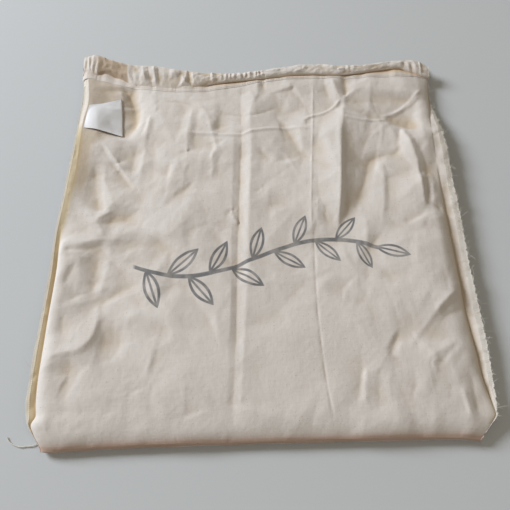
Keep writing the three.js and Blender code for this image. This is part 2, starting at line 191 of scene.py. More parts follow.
# Gathers of the casing: x, lean from its top edge to its foot, height, and the shares from foot to top edge
# where each begins and ends
GATHERS = [
    (-202, 0.6, 0.9, 1, 0), (-199.5, -0.6, -0.9, 1, 0.2), (-197, 1.2, 1, 0.9, 0),
    (-194.5, 0.6, -0.8, 1, 0.1), (-192, -1.2, 0.9, 1, 0.1), (-189, -2.3, -0.6, 0.8, 0.1),
    (-186, -1.2, 0.9, 0.9, 0.1), (-178, 1.2, 0.5, 1, 0.55), (-169, 1.2, 0.3, 1, 0.5),
    (-158, 1.2, 0.9, 1, 0.6), (-152, 1.2, 0.8, 1, 0.35), (-149, 1.8, 1.2, 1, 0.1),
    (-144, 1.8, -1.1, 0.9, 0.05), (-137, 2.4, -1.2, 0.8, 0.15), (-131, 4.7, 1.5, 1, 0.2),
    (-125, 3.5, -1.3, 0.9, 0.25), (-122, 1.2, -0.9, 0.5, 0.05), (-118, 4.7, 1.8, 1, -0.1),
    (-114, 3.5, -1.1, 1, 0.1), (-108, 1.2, 0.7, 1, 0.4), (-102, 2.3, -0.5, 1, 0.6), (-95, 3.5, 0.6, 1, 0.5),
    (-89, -1.2, -0.7, 0.9, 0.2), (-83, -2.3, 1.2, 1, -0.1), (-78, 3.5, -1.6, 1, 0.05),
    (-74, 1.2, 1.1, 0.95, 0.2), (-69, -1.2, 0.6, 1, 0.5), (-66, 1.2, -0.8, 0.5, 0.1),
    (-60, 0, -0.9, 0.6, 0.1), (-55, 1.2, -1.2, 1, 0.1), (-52, 1.2, 1.3, 1, 0.1), (-47, 1.2, -1, 0.9, 0.1),
    (-42, 1.2, 0.9, 1, 0.2), (-39, 0, -0.8, 0.9, 0.1), (-36, 0, 0.9, 1, 0.2), (-34, 0, -0.8, 0.9, 0.1),
    (-32, -0.6, 0.9, 1, 0.2), (-30, 0, -0.8, 0.9, 0.1), (-27, 0, 0.9, 1, 0.2), (-24, -1.2, -1, 0.9, 0.1),
    (-20, 2.3, 1.2, 1, 0.1), (-17, 0, -1, 0.9, 0.1), (-14, -1.2, 0.9, 1, 0.2), (-12, 0, -0.8, 0.9, 0.1),
    (-9, 0, 1.3, 1, 0.05), (-5, 0, -1.1, 0.9, 0.1), (-2, 0, 1.2, 1, 0.1), (-1, 0, 0.2, 1, 0.1),
    (1, 0, 1.2, 1, 0.1), (3, 0.6, -0.9, 0.9, 0.1), (5, 1.8, 0.8, 1, 0.2), (10, 1.2, -0.4, 0.9, 0.2),
    (19, 1.2, 0.3, 1, 0.2), (28, 0, -0.3, 0.9, 0.2), (39, 0, 0.3, 1, 0.2), (49, 1.2, 0.3, 1, 0.2),
    (58, 0, -0.45, 0.8, 0.2), (70, 0, 0.3, 1, 0.2), (83, 0, -0.5, 0.8, 0.2), (87, 0, 0.5, 1, 0.2),
    (92, 0, -0.5, 0.9, 0.2), (98, 0, 0.6, 1, 0.15), (102, 0, -0.6, 0.9, 0.1), (105, 0, 0.6, 1, 0.15),
    (108, 0, -0.9, 0.9, 0.1), (112, 0, 0.4, 1, 0.2), (115, 0, -0.4, 0.8, 0.2), (122, 0, -0.5, 0.8, 0.2),
    (128, 0, 0.3, 1, 0.2), (137, -1.2, -0.3, 0.9, 0.3), (146, -1.2, 0.3, 1, 0.3),
    (155, -1.2, -0.3, 0.9, 0.3), (162, -1.2, 0.3, 1, 0.3), (167, -2.3, 0.8, 0.7, 0.05),
    (171, -1.2, -1, 0.7, 0.05), (176, 1.2, 0.8, 0.8, 0.05), (180, 1.2, -1, 0.7, 0.05),
    (184, 1.2, 1.1, 0.8, 0.05), (188, 0, -0.9, 1, 0.1), (190, 0, 0.8, 1, 0.1), (192, 0, -0.8, 1, 0.2),
]
GATHER_REACH = 4.5
GATHER_SOFTNESS = 0.3
GATHER_DEPTH = 0.75  # all the gathers are eased by this
GATHER_ENDS = {"top": 0.8, "foot": 0.6}  # the share of its height that a gather keeps at its ends
GATHER_OUT = 0.5  # the share of a gather's height by which it moves the top edge out
HEM_FACE = 24  # the shares from foot to top edge are laid out on this length
HEM_PULL = 0.5  # the share of the gathers that runs on into the cloth below the hem
HEM_PULL_REACH = 8

# The turned hem, from its stitched edge up to the casing's foot
HEM_STEP = 0.4  # how far it stands over the front layer
ALLOWANCE_STEP = 0.3  # the share of that on the seam allowances
SEAM_BLEND = (-2, 4)  # from the one to the other, across each seam
LIP = [(0.1, -0.1), (-0.2, 0.15), (-0.1, 0.6), (0.4, 1.0)]  # edge in section: y, share of the step
LIP_INSIDE = 0.3  # the strip starts this far in from the edge
LIP_ROOM = 1.2  # the least distance from the edge to the casing's foot
STRIP_SINK = (0.4, 1.05)  # shares of the strip over which it comes to the foot's height
STRIP_WRINKLE = 0.5
STRIP_DEPTH = 0.3  # the gathers are followed this far below the foot, as a share of the casing's face
FOOT_TURNS = (80, 215, 136)  # where the foot is looked for round the casing: from, to, steps
FOOT_SINK = 2.4  # where the casing is narrow its foot sinks into the cloth
FOOT_SINK_WIDTHS = (6.5, 11)
FOOT_GATHER = 0.4  # the share of the gathers at the foot
FOOT_BLEND = 0.15
BEHIND_TURN = -140  # the hem ends here behind the casing
BEHIND_GATHER = 0.3  # with this share of the gathers
BELOW_FACE, PAST_FACE = -1.0, 2.0  # stand for a share in the rows that aren't on the casing's face

# Soft swells of the front layer: start, pull, end, rise, reach to the left hand and to the right hand
SWELLS = [
    ((-147, 180), (-146, 162), (-143, 146), -3.2, 9, 34),
    ((-142, 156), (-136, 125), (-150, 96), -4.2, 9, 26),
    ((-146, 104), (-124, 50), (-146, -10), -2.4, 30, 40),
    ((-158, -24), (-162, -50), (-150, -78), -2.6, 10, 16),
    ((-120, -14), (-120, -50), (-128, -104), -2.8, 40, 32),
    ((-168, -80), (-148, -108), (-126, -140), -1.8, 16, 12),
    ((-52, 158), (-44, 130), (-56, 96), 1.3, 6, 24),
    ((-60, 92), (-62, 62), (-70, 32), 1.4, 8, 28),
    ((89, 135), (86, 60), (82, -5), 2.4, 4, 38),
    ((177, 168), (173, 138), (164, 112), -4.6, 12, 56),
    ((140, 62), (143, 22), (140, -24), -1.6, 28, 16),
    ((165, 66), (174, -20), (174, -125), 2.6, 20, 42),
]
SWELL_FADE = 0.22

# Creases that the front layer is drawn over: x, y and height over the crown, along each
CREASES = [
    # standing fold and the pleats over it
    ((96, 155, 2.2), (94, 130, 4.2), (91, 106, 5), (87, 59, 5), (84, 25, 4.2), (82, 7, 2.8), (80, -9, 0.4)),
    ((102, 152, 1.2), (101, 132, 2.8), (99, 108, 3.2), (96, 81, 2.8), (94, 56, 2.6), (91, 34, 2.2),
     (87, 15, 1.4), (83, -3, 0.4)),
    ((110, 150, 0.4), (110, 130, 1.4), (108, 107, 1.6), (105, 86, 0.8), (102, 60, 0),
     (100, 35, -0.2), (92, 12, 0), (84, -6, -0.2)),
    ((128, 138, -0.8), (124, 118, -0.8), (120, 97, -0.9), (112, 76, -1)),
    ((82, 147, 0.6), (72, 130, 0.3), (66, 107, 0.1), (63, 86, 0), (62, 57, 0), (63, 29, 0),
     (67, 11, 0.1), (74, -4, 0)),
    ((86, 183, 2), (90, 166, 2.4), (96, 155, 2.2)),
    ((76, 183, -1), (78, 171, -1), (81, 160, -0.3)),
    ((100, 185, -1.4), (102, 174, -1.4), (100, 163, -0.4)),
    ((96, 155, 2.2), (104, 165, 1.4), (114, 171, 0.9), (124, 176, 0.6), (139, 182, 0.3)),
    # right of the standing fold
    ((61, 20, 0.6), (60, 7, 0.8), (60, -4, 0.5)),
    ((67, 14, -0.4), (69, 4, -0.6), (71, -4, -0.2)),
    ((152, 133, -0.5), (138, 119, -0.5), (126, 106, -0.8), (118, 97, -1), (112, 80, -1.2), (106, 63, -1.4)),
    ((157, 117, -1.9), (152, 97, -2.4), (150, 84, -2.8), (132, 79, -3.1), (119, 72, -3), (114, 54, -2.6),
     (107, 34, -2), (100, 15, -1)),
    ((126, 63, -0.6), (122, 35, 0.2), (117, 8, 0.2)),
    ((133, 65, 0.2), (131, 40, 1), (128, 16, 1), (123, -8, 0.3)),
    ((136, 50, -0.2), (135, 29, -0.2), (132, 9, -0.1)),
    ((159, 112, 0.6), (162, 102, 1.6), (166, 84, 2.4), (169, 68, 3.2), (169, 46, 3.2), (170, 20, 1.4)),
    ((166, 112, -0.2), (171, 96, -0.2), (177, 79, -0.4), (179, 61, -1.2), (177, 41, -1.6), (174, 20, -0.5)),
    ((182, 41, 0.4), (180, 23, 0.4)),
    ((184, 160, 0.6), (183, 137, 0.9), (182, 105, 0.6)),
    ((111, 154, -0.6), (129, 155, -0.9), (150, 157, -0.6)),
    ((108, -1, 1), (108, -15, 1.4), (107, -27, 1)),
    ((122, -16, -0.4), (114, -27, -0.9), (109, -36, -1.1), (106, -51, -0.9), (103, -71, -0.7),
     (99, -92, -0.3)),
    ((97, -34, 0.2), (95, -61, 0.2), (92, -87, 0)),
    ((180, 19, -1), (185, 15, -2.6), (189, 9, -1)),
    ((147, -9, 0.2), (162, -1, 0.8), (178, 7, 0.6)),
    ((150, -3, -0.4), (165, 6, -0.4)),
    # down the middle
    ((-18, 110, -1.2), (-18, 74, -1.6), (-19, 24, -1.6), (-20, -45, -1.2), (-20, -115, -1.2),
     (-21, -141, -0.5), (-21, -157, -0.4), (-22, -176, -0.8), (-22, -192, -1), (-19, -204, -0.4)),
    ((-26, 99, 0), (-26, 23, 0), (-26, -45, 0), (-26, -116, 0), (-27, -178, 0)),
    ((-7, 101, 1.2), (-8, 59, 1.5), (-9, 16, 1.4), (-10, -46, 0.8), (-12, -116, 0.6), (-15, -179, 0.5)),
    ((4, 86, 0), (4, 23, 0), (2, -45, 0)),
    ((-5, 152, 1.5), (-8, 138, 1.5), (-9, 124, 1.4), (-7, 101, 1.2)),
    ((-18, 174, -0.7), (-19, 146, -0.8), (-18, 120, -1.1)),
    ((6, 178, -0.8), (8, 168, 0.5), (12, 154, 0.9), (12, 127, 0.6), (10, 104, 0.4)),
    ((36, 178, 1.1), (38, 162, 0.9)),
    ((-1, 33, -0.3), (13, 46, -0.6), (29, 60, -0.6), (45, 75, 0)),
    ((-34, 0, -0.3), (-28, 10, -1), (-20, 13, -0.8)),
    ((-26, 4, 0.5), (-20, -3, 0.4)),
    ((14, 30, -0.4), (15, 16, -0.8), (17, 0, -0.3)),
    # upper left
    ((-186, 186, -2.4), (-178, 185, -3.2), (-165, 183, -3.6), (-152, 179, -3), (-137, 174, -1.4),
     (-123, 170, -0.4)),
    ((-154, 176, -3.2), (-146, 164, -3.8), (-139, 148, -4.6), (-136, 134, -4.6), (-136, 120, -3.6),
     (-141, 110, -1.4)),
    ((-131, 167, -1), (-127, 147, -2), (-124, 126, -2.2), (-128, 108, -1)),
    ((-156, 168, -0.6), (-152, 155, -1), (-149, 139, -1.2), (-147, 122, -1), (-148, 108, -0.4)),
    ((-189, 172, 0.6), (-185, 157, 0.8)),
    ((-178, 168, -0.8), (-168, 160, -1)),
    ((-183, 149, 0.8), (-177, 128, 1.2), (-175, 112, 0.4)),
    ((-121, 164, 0), (-113, 138, 0.1), (-114, 112, 0)),
    ((-95, 69, 0), (-83, 80, -0.5), (-75, 84, -0.9), (-62, 90, -0.2)),
    ((-73, 146, 0.3), (-74, 119, 0.8), (-76, 98, 0.9), (-76, 83, 0.5)),
    ((-66, 138, -0.5), (-68, 116, -0.6), (-69, 93, -0.5)),
    ((-120, 129, 0.2), (-122, 105, 0.8), (-122, 82, 1.1), (-123, 62, 1), (-124, 38, 0.6), (-113, 17, 0.2)),
    ((-131, 99, -0.3), (-132, 80, -0.6), (-134, 60, -0.4)),
    ((-112, 99, -0.4), (-111, 73, -0.6), (-110, 48, -0.3)),
    ((-170, 100, 0), (-156, 80, 0.7), (-141, 58, 0.8), (-125, 37, 0.2)),
    ((-167, 89, -0.5), (-155, 69, -0.9), (-142, 53, -0.7), (-133, 40, -0.3)),
    ((-170, 68, -0.3), (-162, 74, -0.8), (-151, 69, -0.7), (-141, 76, -0.7), (-135, 83, -0.2)),
    ((-156, 58, 0.3), (-145, 62, 0.2)),
    ((-107, 150, -0.2), (-112, 141, -0.6), (-117, 130, -0.2)),
    ((-59, 140, -0.1), (-50, 127, -0.3), (-40, 114, -0.1)),
    ((-32, 98, 0.2), (-41, 85, 0.5), (-48, 79, 0.8), (-47, 62, 0.6), (-51, 37, 0.2)),
    ((-56, 86, 0.2), (-48, 79, 0.8)),
    ((-41, 76, -0.3), (-42, 58, -0.4)),
    ((0, 104, 0.4), (4, 89, 0.8), (14, 81, 0.7), (22, 74, 0.2)),
    ((4, 82, -0.5), (13, 73, -0.5)),
    ((26, 83, -0.2), (28, 73, -0.7), (31, 64, -0.2)),
    # left side
    ((-193, 100, -0.5), (-194, 73, -0.6), (-192, 48, -0.6), (-193, 17, -0.6), (-194, -10, -0.6)),
    ((-178, 86, 0.3), (-177, 59, 0.6), (-179, 34, 0.7), (-180, 5, 0.7), (-180, -15, 0.6)),
    ((-172, 63, -0.2), (-168, 35, -0.3), (-162, 11, -0.2)),
    ((-161, 60, 0.5), (-158, 28, 0.9), (-151, 12, 1)),
    ((-147, 11, 1), (-155, 5, 1.8), (-162, -2, 1.8), (-157, -11, 1.4), (-152, -19, 0.6)),
    ((-145, 3, 0), (-149, -5, -0.1), (-146, -15, 0)),
    ((-138, 6, 0.3), (-139, -12, 0.3)),
    ((-192, -26, 2.6), (-193, -49, 3), (-193, -73, 3), (-193, -92, 2.6), (-192, -116, 2.2)),
    ((-184, -30, 0.4), (-170, -27, 1), (-152, -23, 0.7), (-142, -25, 0.3)),
    ((-186, -34, -0.8), (-170, -33, -0.9), (-152, -28, -0.9)),
    ((-183, -68, -0.4), (-180, -56, -1.1), (-174, -43, -0.7)),
    ((-171, -62, -0.5), (-168, -50, -0.7), (-166, -41, -0.5)),
    ((-161, -73, -0.4), (-157, -53, -1), (-157, -41, -0.4)),
    ((-149, -77, 0.4), (-148, -65, 0.5), (-144, -48, 0.3)),
    ((-144, -30, -0.6), (-138, -38, -0.7), (-139, -48, -0.3)),
    ((-175, -84, -0.8), (-166, -80, -1), (-155, -75, -0.6)),
    ((-183, -90, 0.3), (-168, -90, 0.8), (-153, -84, 0.6)),
    ((-146, -88, -0.3), (-132, -77, -0.8), (-112, -68, -0.3)),
    ((-147, -93, 0.4), (-131, -85, 0.5), (-110, -76, 0.2)),
    ((-149, -92, 0.8), (-148, -104, 1.8), (-149, -116, 2.3), (-152, -125, 2.6), (-158, -132, 2.6),
     (-163, -135, 2.4), (-168, -136, 2.1), (-176, -137, 1.9), (-182, -140, 1.5), (-188, -145, 0.6)),
    ((-144, -108, 0.3), (-144, -120, 0.3), (-147, -128, 0.4), (-153, -136, 0.5), (-160, -139, 0.8),
     (-168, -141, 0.8), (-176, -142, 0.6), (-184, -145, 0.5)),
    ((-139, -111, -0.4), (-140, -123, -0.7), (-141, -136, -0.9), (-143, -149, -0.7), (-152, -152, -0.4),
     (-162, -154, -0.2), (-174, -156, -0.1), (-183, -157, 0.1)),
    ((-165, -97, 0.3), (-168, -114, 1), (-175, -127, 1), (-180, -133, 0.9)),
    ((-181, -104, -0.2), (-178, -118, 0.2)),
    ((-134, -108, -0.9), (-133, -130, -1)),
    ((-126, -114, -1.3), (-126, -132, -1.5), (-133, -144, -1.2)),
    ((-116, -108, -0.8), (-113, -128, -0.7)),
    # lower left
    ((-94, -123, 0.3), (-95, -136, 0.6), (-97, -151, 0.7), (-101, -165, 0.1)),
    ((-102, -134, 0.3), (-97, -151, 0.7)),
    ((-90, -136, -0.1), (-92, -149, -0.2), (-94, -159, -0.2)),
    ((-113, -174, -0.2), (-103, -170, -0.3), (-95, -163, -0.2)),
    ((-136, -180, 0.1), (-121, -176, 0.5), (-102, -171, 0.2)),
    ((-140, -172, 0.2), (-122, -167, 0.4), (-104, -158, 0.1)),
    ((-184, -163, 0.1), (-170, -160, 0.1)),
    ((-171, -177, -0.3), (-170, -165, -0.4), (-162, -168, -0.4)),
    ((-175, -174, 0.3), (-169, -158, 0.4)),
    ((-121, -206, 0.1), (-118, -195, 0.5), (-115, -184, 0.2)),
    ((-183, -191, 0.6), (-180, -202, 0.4)),
    ((-184, -202, -0.4), (-178, -208, -0.3)),
    # lower right
    ((185, -78, 1.4), (178, -84, 2.2), (169, -92, 2.1), (160, -103, 1.5), (151, -113, 1.1),
     (142, -124, 0.9), (135, -134, 0.3)),
    ((188, -83, -0.4), (182, -89, -0.9), (174, -95, -0.8), (164, -106, 0.1), (154, -117, 0.2),
     (145, -128, 0.2)),
    ((189, -95, -2), (181, -98, -2.2), (174, -101, -1.5), (166, -112, -0.5), (156, -125, -0.3)),
    ((129, -117, -0.3), (124, -126, -1.1), (119, -137, -0.8)),
    ((112, -136, 0.4), (120, -124, 0.4), (128, -112, 0.1)),
    ((130, -127, 0.5), (126, -136, 0.4)),
    ((124, -139, 0.3), (132, -144, 0.1)),
    ((123, -142, -0.5), (131, -147, -0.3)),
    ((92, -131, -0.3), (92, -152, -1), (87, -172, -1.1), (83, -188, -0.3)),
    ((95, -154, 0.4), (92, -179, 0.3)),
    ((107, -154, -0.3), (105, -170, -0.8), (103, -188, -0.3)),
    ((104, -153, 0.4), (110, -145, 0.6), (116, -136, 0.3)),
    ((115, -157, 0.4), (114, -179, 0.3)),
    ((138, -152, -0.3), (136, -166, -0.8), (133, -176, -0.3)),
    ((152, -149, 0.2), (146, -166, 0.5), (148, -175, 0.2)),
    ((156, -136, 0.2), (156, -147, 0.4), (158, -158, 0.2)),
    ((134, -171, 0.2), (145, -180, 0.5), (158, -189, 0.1)),
    ((172, -128, 0.2), (173, -146, 0.6), (175, -160, 0.4)),
    ((178, -170, 0.2), (179, -180, 0.4), (182, -190, 0.2), (185, -198, -0.4)),
    ((176, -178, -0.4), (178, -187, -0.5)),
    ((187, -150, -0.8), (188, -165, -2), (188, -180, -2.2), (189, -191, -1)),
    ((168, -166, -0.5), (166, -177, -0.6)),
    ((171, -204, 0.1), (177, -206, 0.9), (184, -202, 0.2)),
    ((178, -51, -0.3), (179, -64, -0.8), (179, -74, -0.3)),
    ((166, -47, 0.2), (165, -66, 0.4), (161, -83, 0.2)),
    # pleat beside the middle crease
    ((0, 178, 2), (0, 168, 1.9), (-2, 158, 1.6), (-5, 152, 1.5)),
    # slopes, each between a low line and a high one
    ((-94, 66, -0.8), (-95, 40, -0.7), (-97, 16, -0.1)),
    ((-77, 64, 0.9), (-78, 42, 0.6), (-80, 18, 0.1)),
    ((-92, -166, -0.7), (-92, -190, -0.7)),
    ((-64, -166, 0.9), (-64, -190, 0.9)),
]
CREASE_REACH = 16  # how far beside a crease the cloth comes back to level
CREASE_SOFTNESS = 0.35
CREASE_DEPTH = 1.2  # all the creases are deepened by this
RELIEF_PASSES = 70  # times that a grid is drawn level between its creases
RELIEF_STEP = 0.8  # and how far each time
WHOLE_FIELD = 1000  # a grid's spacing to begin with, wider than any field

# Narrow ridges and pressed lines: path, rise, reach
RIDGES = [
    (((64, 185), (60, 113), (57, 66), (54, 17), (54, -23)), 0.9, 1),
    (((56, -6), (55, -45), (55, -96), (57, -130), (60, -166), (63, -187), (65, -204)), -0.9, 0.9),
    (((49, 125), (60, 131), (74, 136), (86, 145), (94, 157)), 1.3, 1.5),
    (((-87, 110), (-63, 108), (-36, 106), (-18, 106), (-4, 110), (11, 113), (29, 115), (46, 114),
      (64, 113)), 1.2, 1.4),
    (((-108, 154), (-82, 151), (-68, 144), (-48, 138), (-20, 132), (-4, 132), (12, 139),
      (25, 148)), -1.3, 1.4),
    (((137, 134), (150, 139), (162, 146), (175, 158), (188, 173)), 1.2, 1.6),
    (((148, 136), (159, 142), (172, 151), (185, 164)), 1, 1.4),
    (((94, 129), (104, 127), (115, 126), (129, 127), (145, 132)), 1, 1.4),
    (((152, 132), (138, 118), (126, 106), (117, 95)), 0.4, 1.2),
    (((117, 95), (111, 79), (106, 62), (101, 40)), 0.35, 1.2),
    (((130, 163), (132, 149), (134, 139)), -0.6, 1.3),
    (((111, 124), (111, 109)), -0.45, 1.2),
    (((120, 125), (119, 109)), -0.45, 1.2),
    (((132, 121), (133, 104)), -0.35, 1.2),
    (((114, 136), (122, 144)), -0.4, 1.2),
    (((163, 138), (157, 125)), -0.4, 1.2),
    (((168, 129), (164, 111)), -0.35, 1.2),
    (((143, 113), (144, 91)), -0.35, 1.3),
    (((162, 161), (157, 144)), -0.3, 1.2),
    (((61, 40), (73, 47), (84, 54)), 0.4, 1.3),
    (((63, 20), (68, 10), (73, -2)), 0.45, 1.3),
    (((86, 127), (82, 86)), -0.25, 1.4),
    (((-169, 99), (-155, 78), (-140, 56), (-125, 37)), 0.4, 1.3),
    (((-72, 146), (-77, 116), (-78, 92)), 0.5, 1.2),
    (((-152, -52), (-138, -42), (-106, -30)), 0.35, 1.4),
    (((-195, -26), (-170, -25), (-151, -22), (-116, -22)), 0.4, 1.3),
    (((-188, -43), (-181, -39)), -0.4, 1.4),
    (((-165, -30), (-173, -41)), -0.3, 1.3),
    (((154, -136), (159, -141), (155, -147), (159, -154)), 0.7, 1.3),
    (((-88, -100), (-92, -128), (-98, -152), (-110, -170), (-124, -180)), 0.35, 1.2),
    (((-152, -168), (-128, -176), (-96, -180)), 0.3, 1.2),
    (((-118, -150), (-126, -178), (-128, -196)), -0.3, 1.2),
    (((-160, -110), (-172, -128)), 0.35, 1.2),
    (((118, -60), (126, -92), (130, -110)), -0.3, 1.2),
    (((142, -118), (150, -146), (152, -170)), 0.3, 1.2),
    (((-58, 142), (-47, 124), (-40, 112)), -0.4, 1.2),
    (((20, 96), (34, 72), (44, 50)), 0.3, 1.2),
    (((-148, 11), (-155, 5), (-162, -1)), 0.55, 1.2),
    (((-162, -1), (-157, -10), (-152, -19)), 0.55, 1.2),
    (((-31, 101), (-40, 92), (-49, 86)), 0.45, 1.2),
    (((-49, 86), (-48, 66), (-49, 50)), 0.45, 1.2),
]
RIDGE_FADE = 0.15
ROUNDED, PRESSED = 2, 1  # the power of the distance in a line's section
ROUND_RISE = 0.95  # ridges higher than this are rounded, and the others pressed
UNEVEN_LENGTH = 4  # a pressed line is uneven at about this length
UNEVEN_SHARE = 0.25  # and by this share of its rise
LINE_ROOM = 4.5  # a line lifts the cloth within this many of its reaches
LINE_BATCH = 20000  # grid points that are measured from a line at a time
SWELL_POINTS = 160
SPAN_POINTS = 24  # points between two of the given ones on a smooth path

# Facets of handled cotton: spacing, height
FACETS = [(28, 1.05), (14, 0.42), (6.5, 0.1)]
HEM_FACETS = [(10, 0.6), (5, 0.32), (2.6, 0.1)]
EDGE_FACETS = [(9, 0.5), (4, 0.25)]
FACET_SOFTNESS = 0.35
SAME_SPOT = 1e-5  # spots closer than this are one
CALM_PLACE = (20, -150)  # the lower middle is crumpled least
CALM_SIZE = (125, 70)
CALM_SHARE = 0.75  # the share of the facets that it lacks
WAVE_COUNT = 14
WAVE_HEIGHT = 0.5
WAVE_LENGTHS = (45, 120)
FULL_TURN = 6.28

# The even grids that reliefs are worked out on, in millimetres
PANEL_FIELD = {"corner": (-212, -222), "span": (424, 440), "grids": (6.4, 3.2, 1.6, 0.8)}
HEM_FIELD = {"corner": (-212, -8), "span": (424, 40), "grids": (2.4, 1.2, 0.6)}
LAST_CELL = 1.001  # a grid's size less this is just short of its last point
SPREAD = 4  # steps each way over which a grid is softened

# The label's corners: at the seam, top and foot, then at its free end, top and foot
LABEL_CORNERS = ((-188.5, 146), (-190.5, 114.5), (-154.5, 159), (-147.5, 105.5))
LABEL_GRID = {"x_segments": 60, "y_segments": 26}
LABEL_TURN = 0.06  # the share of a layer's length in which it turns over
LABEL_CLEAR = 0.5  # from the cloth to the label
LABEL_LIFT = 2.2  # the middle of its foot stands off the cloth
LABEL_FOLLOWS = 0.8  # how closely the stiff label follows the cloth under it
LABEL_BOW = 2.6
# Powers that move the crown of its bow down and to the seam, and that of its lifted foot to the seam
LABEL_LEAN = {"bow_down": 0.8, "bow_in": 0.6, "foot_in": 0.8}
LABEL_PLIES = 0.4  # from one of its layers to the other

# The loose thread at the bottom left corner
THREAD = 0.8  # its thickness
THREAD_LEVEL = 0.6
THREAD_SPACING = 1.4
THREAD_ROUTE = [
    (-187.5, -211), (-190, -212.8), (-193.5, -214.4), (-199.5, -214.8),
    (-204, -215.2), (-210.5, -213), (-214.5, -210.2), (-216.5, -207),
]

# Stitches: pitch, the share of it that shows, how far they stand off the cloth
HEM_STITCH = {"pitch": 3.1, "share": 0.72, "lift": 0.2}
NEEDLE_STITCH = {"pitch": 1.8, "share": 0.85, "lift": 0.18}
STITCH_ARCH = (-0.6, 0.8, 1, 0.8, -0.6)  # a stitch in section, in shares of its lift
STITCH_WANDER = 0.15
FIRST_STITCH = 1
STITCH_THREAD = 0.3
HEM_LINES = [(1.6, -160, 188), (5.2, -160, -60)]  # distance above the hem's edge, from x, to x
STITCH_COLUMNS = 3  # a line on the hem is laid out on every third column

# Overlocked edges: loops over the rim and back, with a needle line inside it
OVERLOCK_ENDS = (2, 6)  # rows left free at the fold and at the hem
OVERLOCK_THREAD = 0.34
LOOP_SHARES = (0, 0.45, 0.9)  # of the pitch, where a loop starts, is at the rim and ends
LOOP_WIDTH = (0.55, 0.66)  # of the way from the seam to the rim, where loops start
LOOP_OUT = (0.3, 0.6)  # how far loops stand out of the rim
LOOP_LIFT = 0.15
CROSSING_LIFT = 0.2
CROSSING = {"over": 0.5, "back": 0.6}  # share of the way along at which a loop is half way to the rim
LOOP_ROUND = [(0.6, 0.25), (1, -0.5), (0.3, -1.4)]  # round the rim: share of the way out, and height
LOOP_BACK = (0.6, 0.2)
NEEDLE_LINE = 0.6

# Loose fibres along the raw edges, one at the bottom right corner and a knob of lint
FIBRE = 0.2  # thickness
FIBRE_COUNTS = {"right": 400, "left": 60}
FIBRE_ENDS = (2, 8)  # rows left free at the fold and at the hem
FIBRE_POINTS = 6
FIBRE_OUT = (0.2, 1)
FIBRE_SWAY = 0.7
FIBRE_LIFT = (0.1, 0.4)  # mean and spread
FIBRE_LENGTH = (2, 0.9)  # shape and scale of the spread of lengths
FIBRE_CURL = 0.5
FIBRE_FLOOR = 0.3
CORNER_FIBRE = [(191, -209, 1.2), (190, -213, 0.5), (189.6, -215.2, 0.5), (192.2, -217.2, 0.5)]
LINT_PLACE = (207.5, -141, 10)
LINT_SIZE = 1.3
LINT_TURNS = 26
LINT_DEPTHS = (0.4, 1)

# Columns and rows of the cloth and of its turned hem
FLANGE_COLUMNS = 7
EDGE_TURNS = np.radians(np.arange(0, 61, 6))  # columns that follow the round edge beside a seam
EDGE_RADIUS = 10
PANEL_COLUMNS = 274
PANEL_WIDTH = 388
# Where columns are closer, along long creases: middle and half width, in shares across the front
FINE_COLUMNS = [(0.657, 0.018), (0.45, 0.018)]
FINE_GAIN = 0.9  # the share by which there are more of them there
FINE_STEPS = 4000
ROWS = {"back_casing": 14, "back": 26, "fold": 9, "panel": 254}
HEM_COLUMNS = 640
HEM_ROWS = {"strip": 9, "front": 34, "behind": 10}

# Where along the bag the sides are read for the rows, which bend with the fold and the hem
BACK_CASING_Y = 205.0
BACK_SPAN = (200, -200)
FOLD_Y = -213.5
PANEL_SPAN = (-200.5, 178)
LAP_Y = 180.0
HEM_Y = 200.0

# The back casing, the face of the bottom fold and the end of the front layer
BACK_CASING_TURN = (186, -80)  # degrees about its middle
BACK_GATHER = 1.1  # it has the front casing's gathers by this, as they are at a share of its face
BACK_GATHER_AT = 0.8
BACK_LAP = 4  # the back layer starts this far inside the middle of its casing
FOLD_RIPPLES = (17, 9, 41)  # the wobble of the fold's face: run, turn over the face, slower run
LAP = [(1.2, 0.1), (2.4, 0.6)]  # rows of the front layer under the hem: how far in, how far down

# Painted shade and painted light: tints that stand for shade and for light from cloth close by, which warm
# and darken the cream
# painted shade in hollows and creases of the cloth, along the right seam and in the casing's gathers
HOLLOW_SHADE_TINT = (0.82, 0.74, 0.61)
GLOW_LIGHT_TINT = (0.95, 0.86, 0.63)  # painted light that comes through the standing left allowance
MARGIN_SHADOW_TINT = (0.80, 0.725, 0.61)  # painted shadow on the cloth beside it, under the raised allowance
FOLD_SHADE_TINT = (0.74, 0.585, 0.51)  # painted shade on the bottom fold, turned from the light
BAND_SHADE_TINT = (0.70, 0.60, 0.485)  # painted shade on the flat left end of the casing, turned from the light
GROOVE_SHADE_TINT = (0.84, 0.66, 0.45)  # painted shade in the groove under the casing

# Where the painted shade and painted light lie, in millimetres along the bag or across it, or in columns
# and rows
HOLLOW_SPAN = 21  # points across which a hollow is judged
HOLLOW_DEPTH = 2.4  # a hollow this deep has the whole painted shade
SEAM_VALLEY_SHADE = {"columns_in": 3, "half": 6.0, "columns_past": 2, "most": 0.9}  # painted shade in the valley along the right seam
VALLEY_FADE = (-30, 80)  # up the bag the valley grows shallow and its painted shade fades
VALLEY_LOSS = 0.9
GLOW_START = (1, 2.2)  # columns from the rim
GLOW_PAST_SEAM = (2, 12)  # columns, where the seam is low and where it is high
GLOW_RISE, GLOW_FALL = (-45, 10), (95, 125)  # where the seam comes up and goes down again
GLOW_DIM = (108, 126)  # past this less light comes through
GLOW_LOSS = 0.8
MARGIN_RISE = (18, 48)  # the margin starts here
MARGIN_DIM = (90, 115)
MARGIN_WIDTH = (20, 58)  # below and above the place where it dims
MARGIN_LOSS = 0.2
MARGIN_FADE = 0.4  # share of its width at which it starts to fade
FOLD_SHADE = (0.84, 0.99)  # shares of the height of the fold's face
GATHER_SHADE_DEPTH = 1.1  # a gather drawn in this far has the whole painted shade
